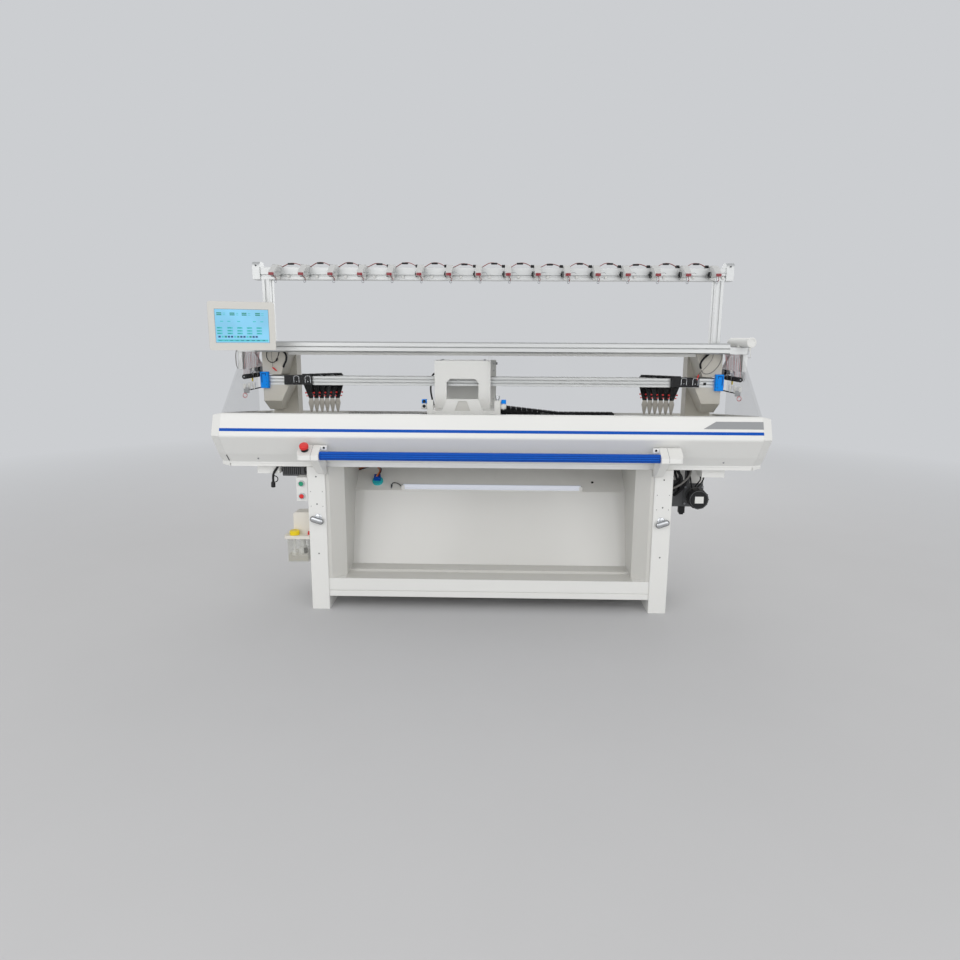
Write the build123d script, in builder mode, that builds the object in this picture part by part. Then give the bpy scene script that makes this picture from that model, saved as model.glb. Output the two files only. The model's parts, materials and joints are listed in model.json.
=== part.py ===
"""Flat knitting machine, in millimetres: X along the needle beds, Y to the back, Z up from the floor."""
import os
from math import cos, radians, sin, tan

from build123d import *

os.makedirs("parts", exist_ok=True)

# Fits and sheet
clearance = 0.3
shaft_clearance = 0.05
overrun = 10.0
sheet = 2.0
cover_sheet = 2.0
quarter_turn = 90

# Legs and lower beams
leg_overhang = 353.0
leg_width = 83.0
leg_depth = 520.0
leg_height = 680.0
leg_front_y = -250.0
foot_length = 150.0
foot_gap = 60.0
foot_gap_chamfer = 30.0
leg_edge_radius = 5.0
lower_beam_bottom = 62.0
lower_beam_height = 88.0
lower_beam_depth = 60.0
lower_beam_setback = 8.0
lower_beam_groove = 4.0
lower_beam_groove_share = 0.33

# Fabric bin
bin_cheek_gap = 76.0
bin_flange = 16.0
bin_jamb_run = 50.0
bin_step_y = -140.0
bin_step = 12.0
panel_foot_y = -55.0
panel_kink_y = 52.0
panel_kink_drop = 168.0
panel_top_y = 200.0
panel_top_drop = 55.0
lamp_length = 885.0
lamp_centre_x = 10.5
lamp_width = 26.0
lamp_depth = 20.0
lamp_foot = 8.0
cabinet_front_y = 78.0
cabinet_back_y = 262.0
cabinet_drop = 80.0
cabinet_slope_gap = 10.0
roller_notch_half = 45.0
roller_notch_depth = 45.0
socket_inset = 106.0
socket_radius = 24.0
socket_height = 8.0
socket_place_share = 0.3

# Bed beam, needle beds and carriage guides
throat_y = 85.0
throat_half = 27.0
bed_half = 690.0
bed_beam_front_y = -236.0
bed_beam_thickness = 32.0
machine_back_y = 395.0
bed_edge_rise = 202.0
bed_angle = 43.0
bed_length = 225.0
bed_thickness = 20.0
bed_gap_half = 2.0
slot_count = 56
slot_width = 9.0
slot_depth = 5.0
slot_end_margin = 14.0
guide_offset = 237.0
guide_riser = 14.0
guide_head_width = 30.0
guide_head_height = 20.0
guide_height = 88.0
guide_end_gap = 30.0
stay_gap = 191.0
stay_length = 102.0
stay_setback = 36.0
stay_depth = 80.0
stay_height = 40.0

# Covers and end caps
cover_half = 1183.0
cover_lip_y = -280.0
cover_top_y = -312.0
cover_top_rise = 249.0
cover_top_drop = 5.0
cover_nose_y = -350.0
cover_nose_rise = 152.0
cover_nose_radius = 14.0
cover_kink_y = -280.0
cover_kink_rise = 64.0
cover_bottom_rise = 21.0
cover_flange = 7.0
cap_length = 37.0
cap_taper = 12.0
cap_wall = 5.0
trough_inner_y = 343.0
trough_floor_rise = 166.0
rear_cover_rise = 192.0

# Stop bar, brackets and emergency button
bracket_inset = 92.0
bar_y = -365.0
bar_rise = 72.0
bar_depth = 32.0
bar_height = 36.0
bar_chamfer = 7.0
bar_groove = 3.0
bar_groove_shares = (-0.24, 0.0, 0.24)
bar_pin_radius = 8.0
bar_pin_length = 20.0
bar_end_gap = 1.0
bracket_front_y = -395.0
bracket_bottom_rise = 56.0
bracket_top_back_y = -334.0
bracket_foot_drop = 32.0
bracket_foot_top_rise = 22.0
bracket_waist_y = -290.0
bracket_waist_rise = 62.0
bracket_belly_y = -300.0
bracket_belly_drop = 18.0
bracket_slope_front_rise = 77.0
bracket_slope_back_rise = 115.0
bracket_arm_width = 34.0
bracket_block_width = 61.0
bracket_block_radius = 18.0
collar_radius = 16.0
collar_height = 11.0
mushroom_radius = 20.0
mushroom_height = 16.0
mushroom_stem = 11.0
mushroom_travel = 5.0
mushroom_bore = 30.0
mushroom_round = 8.0

# Switch box and push buttons
switch_width = 50.0
switch_depth = 60.0
switch_drop = 158.0
switch_height = 110.0
switch_start_share = 0.75
switch_stop_share = 0.22
button_radius = 10.0
button_length = 18.0
button_proud = 9.0
button_chamfer = 1.0
bezel_radius = 14.0
bezel_height = 4.0

# Latch handles on the legs
latch_drop = 245.0
latch_length = 62.0
latch_width = 26.0
latch_thickness = 12.0
latch_gap = 6.0
latch_spindle_radius = 8.0
latch_spindle_depth = 12.0
latch_tilt = 18.0

# Lubricator
oil_lid_width = 119.0
oil_lid_depth = 120.0
oil_lid_thickness = 15.0
oil_lid_drop = 340.0
oil_lid_radius = 10.0
oil_tank_inset = 10.0
oil_tank_height = 115.0
oil_tank_wall = 3.0
oil_tank_radius = 8.0
oil_pump_width = 85.0
oil_pump_depth = 72.0
oil_pump_height = 101.0
oil_pump_chamfer = 8.0
oil_cap_radius = 22.0
oil_cap_height = 21.0
oil_cap_inset = 44.0
oil_cap_front = 24.0
oil_cap_chamfer = 3.0
oil_neck_radius = 14.0
oil_neck_height = 12.0

# Towers, shields and guard doors
tower_inset = 205.0
tower_width = 125.0
tower_column_y = 180.0
tower_back_y = 260.0
tower_arm_front_y = 34.0
tower_top_rise = 510.0
tower_upper_rise = 402.0
tower_arm_depth = 77.0
tower_gusset_y = 120.0
tower_gusset_drop = 50.0
tower_upper_lean = 36.0
tower_lower_lean = 62.0
shield_thickness = 3.0
shield_back_y = 200.0
shield_base_rise = 210.0
shield_front_y = -301.0
shield_foot_rise = 2.0
shield_top_y = 5.0
door_angle = 39.7
door_top_gap = 14.8
door_thickness = 4.0
door_foot_y = -303.0
door_lane = 9.4
door_end_gap = 8.0
door_overlap = 12.0

# Yarn table, posts and top beam
table_beam_front_y = -20.0
table_beam_depth = 60.0
table_beam_height = 50.0
table_beam_inset = 68.0
table_beam_chamfer = 6.0
table_beam_groove = 5.0
hanger_width = 22.0
table_corner_height = 32.0
table_corner_radius = 14.0
hanger_depth = 40.0
hanger_drop = 83.0
tray_sheet = 3.0
tray_rim = 42.0
table_lip_drop = 14.0
post_inset = 45.0
post_width = 36.0
post_depth = 70.0
post_centre_y = 90.0
post_slot = 8.0
post_slot_depth = 6.0
top_beam_rise = 846.0
top_beam_height = 57.0
top_beam_depth = 60.0
top_beam_overhang = 25.0
top_slot_height = 9.0
top_slot_depth = 8.0
top_slot_share = 0.33
end_plate_thickness = 36.0
end_plate_overhang = 5.0
end_plate_rise = 25.0
end_plate_radius = 22.0

# Yarn tension units and side tensioners
unit_count = 16
unit_end_gap = 75.0
unit_shift = 10.0
unit_width = 28.0
unit_reach = 105.0
unit_ridge_reach = 35.0
unit_back_run = 14.0
unit_rise = 9.0
unit_nose_drop = 30.0
unit_drop = 45.0
unit_disc_radius = 13.0
unit_disc_gap = 25.0
unit_disc_sides = 10
unit_disc_length = 9.0
unit_lens_width = 22.0
unit_lens_height = 11.0
unit_lens_depth = 5.0
side_bar_thickness = 12.0
side_bar_front_y = 40.0
side_bar_depth = 130.0
side_bar_rise = 410.0
side_bar_height = 30.0
side_stub_count = 6
side_stub_length = 42.0
side_stub_radius = 7.0

# Feeder rails and feeders
rail_pitch = 45.0
rail_thickness = 12.0
rail_rise = 352.0
rail_height = 42.0
rail_end_gap = 65.0
rail_groove = 3.0
rail_groove_shares = (0.32, 0.68)
stop_block_inset = 27.0
stop_block_width = 39.0
stop_block_depth = 22.0
stop_block_height = 78.0
stop_block_drop = 15.0
stop_block_radius = 5.0
slider_length = 133.0
slider_depth = 15.0
slider_foot = 2.0
slider_lip = 5.0
feeder_park = 18.0
feeder_stagger = 25.0
feeder_arm_width = 18.0
feeder_arm_inset = 20.0
feeder_arm_depth = 8.0
nozzle_pitch = 5.0
nozzle_thickness = 3.0
nozzle_width = 28.0
nozzle_shoulder = 68.0
nozzle_tip_rise = 217.0
nozzle_tip_width = 6.0
nozzle_waist_share = 0.7
nozzle_neck_share = 0.12

# Carriage
carriage_left_x = -291.0
carriage_length = 340.0
cam_inner_offset = 37.0
cam_front_offset = 207.0
cam_top_rise = 247.0
cam_lift = 4.0
cam_foot_offset = 155.0
cam_heel_offset = 180.0
shoe_reach = 255.3
shoe_lip = 12.0
shoe_height = 38.0
cam_plate = 12.0
horn_width = 28.0
horn_height = 50.0
tongue_left = 69.0
tongue_base = 190.0
tongue_top = 144.0
tongue_height = 55.0
recess_base = 74.0
recess_top = 38.0
recess_rise = 46.0
recess_depth = 3.0
plug_radius = 13.0
plug_length = 26.0
plug_rise = 21.0
plug_seat = 3.0
bridge_left = 26.0
bridge_width = 266.0
bridge_half_depth = 95.0
bridge_height = 226.0
bridge_sheet = 4.0
bridge_leg = 57.0
bridge_window = 142.0
bridge_window_chamfer = 18.0
bridge_return = 20.0
bridge_rear_extra = 26.0
chain_arm_width = 34.0
chain_arm_height = 30.0
chain_arm_rise = 44.0

# Cable drag chain
chain_left_x = -762.0
chain_right_x = 640.0
chain_bend_x = 360.0
chain_side_gap = 7.0
chain_width = 34.0
chain_link = 24.0
chain_notch = 3.0
chain_notch_width = 5.0
chain_height = 15.0
chain_seat_gap = 0.3

# Take-down rollers and motors
roller_radius = 18.0
roller_end_gap = 47.0
roller_gap = 0.6
roller_shaft_radius = 8.0
roller_shaft_seat = 14.0
gearbox_gap = 20.0
gearbox_width = 170.0
gearbox_front_y = -60.0
gearbox_depth = 180.0
gearbox_height = 210.0
gearbox_bore_depth = 30.0
gearbox_chamfer = 12.0
motor_radius = 42.0
motor_length = 97.0
motor_offset = 125.0
motor_drop = 153.0
motor_flange = 92.0
motor_flange_thickness = 8.0
racking_gap = 135.0
racking_length = 101.0
racking_front_y = -170.0
racking_width = 70.0
racking_height = 58.0
racking_chamfer = 6.0
racking_bell_radius = 24.0
racking_bell_length = 18.0

# Monitor and signal lamp
monitor_overhang = 19.0
monitor_turn = 24.0
monitor_width = 280.0
monitor_height = 210.0
monitor_thickness = 36.0
monitor_radius = 10.0
monitor_y = -200.0
monitor_rise = 625.0
screen_width = 228.0
screen_height = 146.0
screen_thickness = 4.0
boss_width = 40.0
boss_reach = 40.0
boss_height = 60.0
pivot_radius = 8.0
arm_width = 30.0
arm_overhang = 12.0
arm_height = 25.0
arm_rise = 520.0
signal_radius = 22.0
signal_length = 190.0
signal_inset = 9.0
signal_y = 10.0
signal_turn = 9.0
signal_seat_width = 24.0
signal_seat_length = 34.0
signal_seat_height = 10.0

# Places worked out from the sizes above
leg_outer = cover_half - leg_overhang
leg_inner = leg_outer - leg_width
panel_kink_z = leg_height - panel_kink_drop
panel_top_z = leg_height - panel_top_drop
bed_top_z = leg_height + bed_edge_rise
cover_top_z = leg_height + cover_top_rise
cover_nose_z = leg_height + cover_nose_rise
cover_kink_z = leg_height + cover_kink_rise
cover_bottom_z = leg_height + cover_bottom_rise
trough_floor_z = leg_height + trough_floor_rise
rear_cover_top_z = leg_height + rear_cover_rise
bar_z = leg_height + bar_rise
bracket_bottom_z = leg_height + bracket_bottom_rise
bracket_foot_z = leg_height - bracket_foot_drop
bracket_foot_top_z = leg_height + bracket_foot_top_rise
bracket_waist_z = leg_height + bracket_waist_rise
bracket_belly_z = leg_height - bracket_belly_drop
bracket_slope_front_z = leg_height + bracket_slope_front_rise
bracket_slope_back_z = leg_height + bracket_slope_back_rise
switch_bottom_z = leg_height - switch_drop
latch_z = leg_height - latch_drop
oil_lid_z = leg_height - oil_lid_drop
tower_top_z = leg_height + tower_top_rise
tower_upper_z = leg_height + tower_upper_rise
shield_foot_z = leg_height + shield_base_rise
top_beam_bottom_z = leg_height + top_beam_rise
side_bar_z = leg_height + side_bar_rise
rail_bottom_z = leg_height + rail_rise
nozzle_tip_z = leg_height + nozzle_tip_rise
cam_top_z = leg_height + cam_top_rise
monitor_z = leg_height + monitor_rise
arm_z = leg_height + arm_rise
cabinet_top_z = leg_height - cabinet_drop
bin_mouth_half = leg_inner - bin_cheek_gap
socket_x = socket_inset - bin_mouth_half
roller_half = leg_inner - roller_end_gap
bar_length = 2 * (leg_outer - bracket_inset - bar_end_gap)
gearbox_inner_x = leg_outer + gearbox_gap
motor_x = gearbox_inner_x + motor_offset
racking_x = -leg_outer - racking_gap
stay_x = leg_outer + stay_gap
bed_beam_half = cover_half - shield_thickness
guide_half = bed_beam_half - guide_end_gap
rail_half = bed_beam_half - rail_end_gap
stop_block_x = rail_half - stop_block_inset
tower_inner_x = bed_beam_half - tower_inset
feeder_outer_x = tower_inner_x + feeder_park
door_half = bed_beam_half - door_end_gap
table_beam_half = cover_half - table_beam_inset
table_corner_end = cover_half + hanger_width
post_x = table_beam_half - post_inset
top_beam_half = post_x + top_beam_overhang
unit_pitch = 2 * (top_beam_half - unit_end_gap) / (unit_count - 1)
machine_half_length = cover_half + cap_length + monitor_overhang
signal_x = cover_half - signal_inset
leg_back_y = leg_front_y + leg_depth
lower_beam_top = lower_beam_bottom + lower_beam_height
bin_front_y = leg_front_y + lower_beam_setback
beam_bottom_z = leg_height
beam_top_z = beam_bottom_z + bed_beam_thickness
guide_front_y = throat_y - guide_offset
guide_top_z = beam_top_z + guide_height
rail_top_z = rail_bottom_z + rail_height
table_bottom_z = tower_top_z
table_back_y = table_beam_front_y + table_beam_depth
top_beam_front_y = post_centre_y - top_beam_depth / 2
top_beam_top_z = top_beam_bottom_z + top_beam_height
roller_z = beam_bottom_z - roller_radius - clearance
carriage_right_x = carriage_left_x + carriage_length
latch_x = leg_outer - leg_width / 2
cover_path = [
    (cover_lip_y, cover_top_z),
    (cover_top_y + cover_top_drop, cover_top_z),
    (cover_top_y, cover_top_z - cover_top_drop),
    (cover_nose_y, cover_nose_z),
    (cover_kink_y, cover_kink_z),
    (bed_beam_front_y - cover_sheet, cover_bottom_z),
    (bed_beam_front_y - cover_sheet, cover_bottom_z - cover_flange),
]


def write(piece, name):
    """Label a finished piece and write it under its own name."""
    piece.part.label = name
    export_step(piece.part, f"parts/{name}.step")


def strip(path, thickness):
    """Close an open path into a sheet outline, its thickness to the left of the path."""
    points = [Vector(*point) for point in path]
    turned = []
    for index, point in enumerate(points):
        into = (point - points[index - 1]).normalized() if index else None
        out = (points[index + 1] - point).normalized() if index + 1 < len(points) else into
        into = into or out
        left_in = Vector(-into.Y, into.X)
        left_out = Vector(-out.Y, out.X)
        mitre = (left_in + left_out) * (thickness / (1 + left_in.dot(left_out)))
        turned.append(point + mitre)
    return [(p.X, p.Y) for p in points] + [(p.X, p.Y) for p in reversed(turned)]


def outline_on(plane, points):
    """A closed straight-sided face on a plane."""
    with BuildSketch(plane) as face:
        with BuildLine():
            Polyline(*points, close=True)
        make_face()
    return face.sketch


def along_x(points, x, mode=Mode.ADD):
    """Extrude a (Y, Z) outline between two X stations."""
    extrude(outline_on(Plane.YZ.offset(x[0]), points), amount=x[1] - x[0], mode=mode)


def along_y(points, y, mode=Mode.ADD):
    """Extrude an (X, Z) outline between two Y stations."""
    extrude(outline_on(Plane.XZ.offset(-y[1]), points), amount=y[1] - y[0], mode=mode)


def along_z(points, z, mode=Mode.ADD):
    """Extrude an (X, Y) outline between two heights."""
    extrude(outline_on(Plane.XY.offset(z[0]), points), amount=z[1] - z[0], mode=mode)


def block(x, y, z, mode=Mode.ADD):
    """A block between low and high stations on each axis."""
    with Locations(((x[0] + x[1]) / 2, (y[0] + y[1]) / 2, (z[0] + z[1]) / 2)):
        Box(x[1] - x[0], y[1] - y[0], z[1] - z[0], mode=mode)


def rod_x(x, y, z, radius, mode=Mode.ADD):
    """A round rod along X between two stations."""
    with Locations(Location(((x[0] + x[1]) / 2, y, z), (0, quarter_turn, 0))):
        Cylinder(radius, x[1] - x[0], mode=mode)


def rod_y(x, y, z, radius, mode=Mode.ADD):
    """A round rod along Y between two stations."""
    with Locations(Location((x, (y[0] + y[1]) / 2, z), (quarter_turn, 0, 0))):
        Cylinder(radius, y[1] - y[0], mode=mode)


def rod_z(x, y, z, radius, mode=Mode.ADD):
    """A round rod along Z between two heights."""
    with Locations((x, y, (z[0] + z[1]) / 2)):
        Cylinder(radius, z[1] - z[0], mode=mode)


def notched(low, high, width, depth, centres, sign):
    """Points up one straight side at low[0], with a V groove at each centre; sign is the way in."""
    points = [low]
    for centre in centres:
        points += [
            (low[0], centre - width / 2),
            (low[0] + sign * depth, centre),
            (low[0], centre + width / 2),
        ]
    return points + [high]


# Legs: closed sheet boxes that stand on a front and a rear foot
roller_places = (throat_y - roller_radius - roller_gap / 2, throat_y + roller_radius + roller_gap / 2)
for side, name in ((-1, "left_leg"), (1, "right_leg")):
    inner_x = side * leg_inner
    outer_x = side * leg_outer
    with BuildPart() as leg:
        along_x(
            [
                (leg_front_y, 0),
                (leg_front_y + foot_length, 0),
                (leg_front_y + foot_length + foot_gap_chamfer, foot_gap),
                (leg_back_y - foot_length - foot_gap_chamfer, foot_gap),
                (leg_back_y - foot_length, 0),
                (leg_back_y, 0),
                (leg_back_y, leg_height),
                (leg_front_y, leg_height),
            ],
            (min(inner_x, outer_x), max(inner_x, outer_x)),
        )
        fillet(leg.faces().sort_by(Axis.Y)[0].edges().filter_by(Axis.Z), leg_edge_radius)
        for roller_y in roller_places:
            seat_x = inner_x + side * (roller_shaft_seat + clearance)
            rod_x(
                (min(inner_x, seat_x), max(inner_x, seat_x)),
                roller_y,
                roller_z,
                roller_shaft_radius + shaft_clearance,
                Mode.SUBTRACT,
            )
        if side > 0:
            rod_x(
                (inner_x, outer_x),
                roller_places[0],
                roller_z,
                roller_shaft_radius + shaft_clearance,
                Mode.SUBTRACT,
            )
        rod_y(
            side * latch_x,
            (leg_front_y - overrun, leg_front_y + latch_spindle_depth + clearance),
            latch_z,
            latch_spindle_radius + shaft_clearance,
            Mode.SUBTRACT,
        )
    write(leg, name)

# Lower beams between the legs, with the panel groove along the front one
groove_z = lower_beam_bottom + lower_beam_height * lower_beam_groove_share
with BuildPart() as lower_beams:
    front_face = notched(
        (bin_front_y, lower_beam_bottom),
        (bin_front_y, lower_beam_top),
        lower_beam_groove,
        lower_beam_groove,
        [groove_z],
        1,
    )
    beam_back_y = bin_front_y + lower_beam_depth
    along_x(
        front_face + [(beam_back_y, lower_beam_top), (beam_back_y, lower_beam_bottom)],
        (-leg_inner, leg_inner),
    )
    block(
        (-leg_inner, leg_inner),
        (leg_back_y - lower_beam_setback - lower_beam_depth, leg_back_y - lower_beam_setback),
        (lower_beam_bottom, lower_beam_top),
    )
write(lower_beams, "lower_beams")

# Fabric bin liner: floor with a folded step, and cheeks with slanted jambs
with BuildPart() as bin_liner:
    floor_path = [
        (panel_foot_y, lower_beam_top + bin_step),
        (bin_step_y, lower_beam_top + bin_step),
        (bin_step_y, lower_beam_top),
        (bin_front_y, lower_beam_top),
    ]
    along_x(strip(list(reversed(floor_path)), sheet), (-bin_mouth_half, bin_mouth_half))
    jamb_back_y = bin_front_y + bin_jamb_run
    cheek_path = [
        (-leg_inner, bin_front_y),
        (-leg_inner + bin_flange, bin_front_y),
        (-bin_mouth_half, jamb_back_y),
        (-bin_mouth_half, panel_top_y),
    ]
    along_z(strip(cheek_path, sheet), (lower_beam_top, leg_height))
    block(
        (-leg_inner, -bin_mouth_half),
        (throat_y - roller_notch_half, throat_y + roller_notch_half),
        (leg_height - roller_notch_depth, leg_height),
        Mode.SUBTRACT,
    )
    mirror(bin_liner.part, about=Plane.YZ)
write(bin_liner, "bin_liner")

# Back panels of the bin: a steep lower one and a flatter upper one that carries the lamp
panel_path = [
    (panel_top_y, panel_top_z),
    (panel_kink_y, panel_kink_z),
    (panel_foot_y, lower_beam_top + bin_step),
]
panel_fold = strip(panel_path, sheet)
panel_ends = (-bin_mouth_half, bin_mouth_half)
with BuildPart() as bin_back_panel:
    along_x(panel_fold[1:5], panel_ends)
write(bin_back_panel, "bin_back_panel")

panel_slope = Vector(panel_top_y - panel_kink_y, panel_top_z - panel_kink_z).normalized()
panel_face = Plane(
    origin=(0, panel_kink_y, panel_kink_z),
    x_dir=(1, 0, 0),
    z_dir=(0, -panel_slope.Y, panel_slope.X),
)
panel_run = (Vector(panel_top_y, panel_top_z) - Vector(panel_kink_y, panel_kink_z)).length
with BuildPart() as bin_upper_panel:
    along_x(panel_fold[:2] + panel_fold[4:], panel_ends)
    with BuildSketch(panel_face) as socket_foot:
        with Locations((socket_x, panel_run * socket_place_share)):
            Circle(socket_radius)
    extrude(socket_foot.sketch, amount=socket_height)
write(bin_upper_panel, "bin_upper_panel")

# Tube lamp with a slanted diffuser along the lower edge of the upper panel
with BuildPart() as bin_lamp:
    lamp_section = [
        (lamp_foot, 0),
        (lamp_foot + lamp_width, 0),
        (lamp_foot + lamp_width, lamp_depth / 2),
        (lamp_foot + lamp_width / 2, lamp_depth),
        (lamp_foot, lamp_depth / 2),
    ]
    lamp_plane = Plane(
        origin=(lamp_centre_x - lamp_length / 2, panel_kink_y, panel_kink_z),
        x_dir=(0, panel_slope.X, panel_slope.Y),
        z_dir=(1, 0, 0),
    )
    extrude(outline_on(lamp_plane, lamp_section), amount=lamp_length)
write(bin_lamp, "bin_lamp")

# Control cabinet behind the bin
cabinet_half = bin_mouth_half - clearance
slope_rise = panel_slope.Y / panel_slope.X
cabinet_front_top = panel_kink_z + (cabinet_front_y - panel_kink_y) * slope_rise - cabinet_slope_gap
cabinet_crest_y = cabinet_front_y + (cabinet_top_z - cabinet_front_top) / slope_rise
with BuildPart() as control_cabinet:
    along_x(
        [
            (cabinet_front_y, lower_beam_top),
            (cabinet_back_y, lower_beam_top),
            (cabinet_back_y, cabinet_top_z),
            (cabinet_crest_y, cabinet_top_z),
            (cabinet_front_y, cabinet_front_top),
        ],
        (-cabinet_half, cabinet_half),
    )
write(control_cabinet, "control_cabinet")

# Needle bed section on the front side, measured from the throat
rise = sin(radians(bed_angle))
run = cos(radians(bed_angle))
slope = tan(radians(bed_angle))
bed_edge_y = throat_y - bed_gap_half
bed_foot = Vector(bed_edge_y - bed_length * run, bed_top_z - bed_length * rise)
bed_heel = bed_foot + Vector(rise, -run) * bed_thickness
bed_section = [
    (bed_edge_y, bed_top_z),
    (bed_foot.X, bed_foot.Y),
    (bed_heel.X, bed_heel.Y),
    (bed_edge_y, bed_heel.Y + (bed_edge_y - bed_heel.X) * slope),
]


def underside(y):
    """Height of the front needle bed's underside at a place across the machine."""
    return bed_heel.Y + (y - bed_heel.X) * slope


# Bed beam: base plate with the fabric throat, two bed wedges and two carriage guides
wedge_inner_y = throat_y - throat_half
wedge_outer_y = bed_heel.X
middle = Plane.XZ.offset(-throat_y)
with BuildPart() as bed_wedge:
    along_x(
        [
            (wedge_outer_y, beam_top_z),
            (wedge_inner_y, beam_top_z),
            (wedge_inner_y, underside(wedge_inner_y)),
            (wedge_outer_y, underside(wedge_outer_y)),
        ],
        (-bed_half, bed_half),
    )
    head_z = guide_top_z - guide_head_height
    along_x(
        [
            (guide_front_y - guide_riser / 2, beam_top_z),
            (guide_front_y + guide_riser / 2, beam_top_z),
            (guide_front_y + guide_riser / 2, head_z),
            (guide_front_y + guide_head_width / 2, head_z),
            (guide_front_y + guide_head_width / 2, guide_top_z),
            (guide_front_y - guide_head_width / 2, guide_top_z),
            (guide_front_y - guide_head_width / 2, head_z),
            (guide_front_y - guide_riser / 2, head_z),
        ],
        (-guide_half, guide_half),
    )
    mirror(bed_wedge.part, about=middle)

with BuildPart() as bed_beam:
    block(
        (-bed_beam_half, bed_beam_half),
        (bed_beam_front_y, machine_back_y - sheet),
        (beam_bottom_z, beam_top_z),
    )
    block(
        (-bed_half, bed_half),
        (wedge_inner_y, throat_y + throat_half),
        (beam_bottom_z, beam_top_z),
        Mode.SUBTRACT,
    )
    add(bed_wedge.part)
    for side in (-1, 1):
        stay_ends = (side * stay_x - stay_length / 2, side * stay_x + stay_length / 2)
        block(
            stay_ends,
            (bed_beam_front_y + stay_setback, bed_beam_front_y + stay_setback + stay_depth),
            (beam_bottom_z - stay_height, beam_bottom_z),
        )
write(bed_beam, "bed_beam")

# Needle beds: slotted steel plates, the rear one shifted sideways by the racking drive
slot_pitch = 2 * (bed_half - slot_end_margin) / slot_count
bed_face = Plane(
    origin=(0, bed_edge_y - bed_length * run / 2, bed_top_z - bed_length * rise / 2),
    x_dir=(1, 0, 0),
    z_dir=(0, -rise, run),
)
with BuildPart() as front_needle_bed:
    along_x(bed_section, (-bed_half, bed_half))
    with BuildSketch(bed_face) as slots:
        with GridLocations(slot_pitch, 0, slot_count, 1):
            Rectangle(slot_width, bed_length + 2 * overrun)
    extrude(slots.sketch, amount=-slot_depth, mode=Mode.SUBTRACT)
write(front_needle_bed, "front_needle_bed")

with BuildPart() as rear_needle_bed:
    add(front_needle_bed.part.mirror(middle).moved(Location((0, clearance, clearance))))
write(rear_needle_bed, "rear_needle_bed")

# Front cover: one folded sheet from the top lip round the nose to the beam
with BuildPart() as front_cover:
    along_x(strip(cover_path, cover_sheet), (-cover_half, cover_half))
    nose = (0, cover_nose_y, cover_nose_z)
    nose_edges = front_cover.edges().filter_by(Axis.X).sort_by_distance(nose)
    fillet(nose_edges[0], cover_nose_radius)
    inner_edges = front_cover.edges().filter_by(Axis.X).filter_by(
        lambda edge: abs(edge.center().Z - cover_nose_z) < cover_sheet
    )
    fillet(inner_edges.sort_by(Axis.Y)[-1], cover_nose_radius - cover_sheet)
write(front_cover, "front_cover")

# Rear cover with the trough for the drag chain
with BuildPart() as rear_cover:
    cover_ends = (-cover_half, cover_half)
    back_wall_y = machine_back_y - sheet
    block(cover_ends, (trough_inner_y, trough_inner_y + sheet), (beam_top_z, trough_floor_z + sheet))
    block(cover_ends, (trough_inner_y, back_wall_y), (trough_floor_z, trough_floor_z + sheet))
    block(cover_ends, (back_wall_y, machine_back_y), (beam_bottom_z, rear_cover_top_z))
write(rear_cover, "rear_cover")

# End caps: tapered moulded shells over both ends of the bed
cap_outline = cover_path[1:] + [
    (bed_beam_front_y, beam_bottom_z),
    (machine_back_y, beam_bottom_z),
    (machine_back_y, rear_cover_top_z),
    cover_path[0],
]
with BuildPart() as end_caps:
    cap_face = outline_on(Plane.YZ.offset(cover_half), cap_outline)
    extrude(cap_face, amount=cap_length, taper=cap_taper)
    with BuildSketch(Plane.YZ.offset(cover_half)) as cap_pocket:
        with BuildLine():
            Polyline(*cap_outline, close=True)
        make_face()
        offset(amount=-cap_wall, kind=Kind.INTERSECTION)
    extrude(cap_pocket.sketch, amount=cap_length - cap_wall, taper=cap_taper, mode=Mode.SUBTRACT)
    mirror(end_caps.part, about=Plane.YZ)
write(end_caps, "end_caps")

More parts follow.
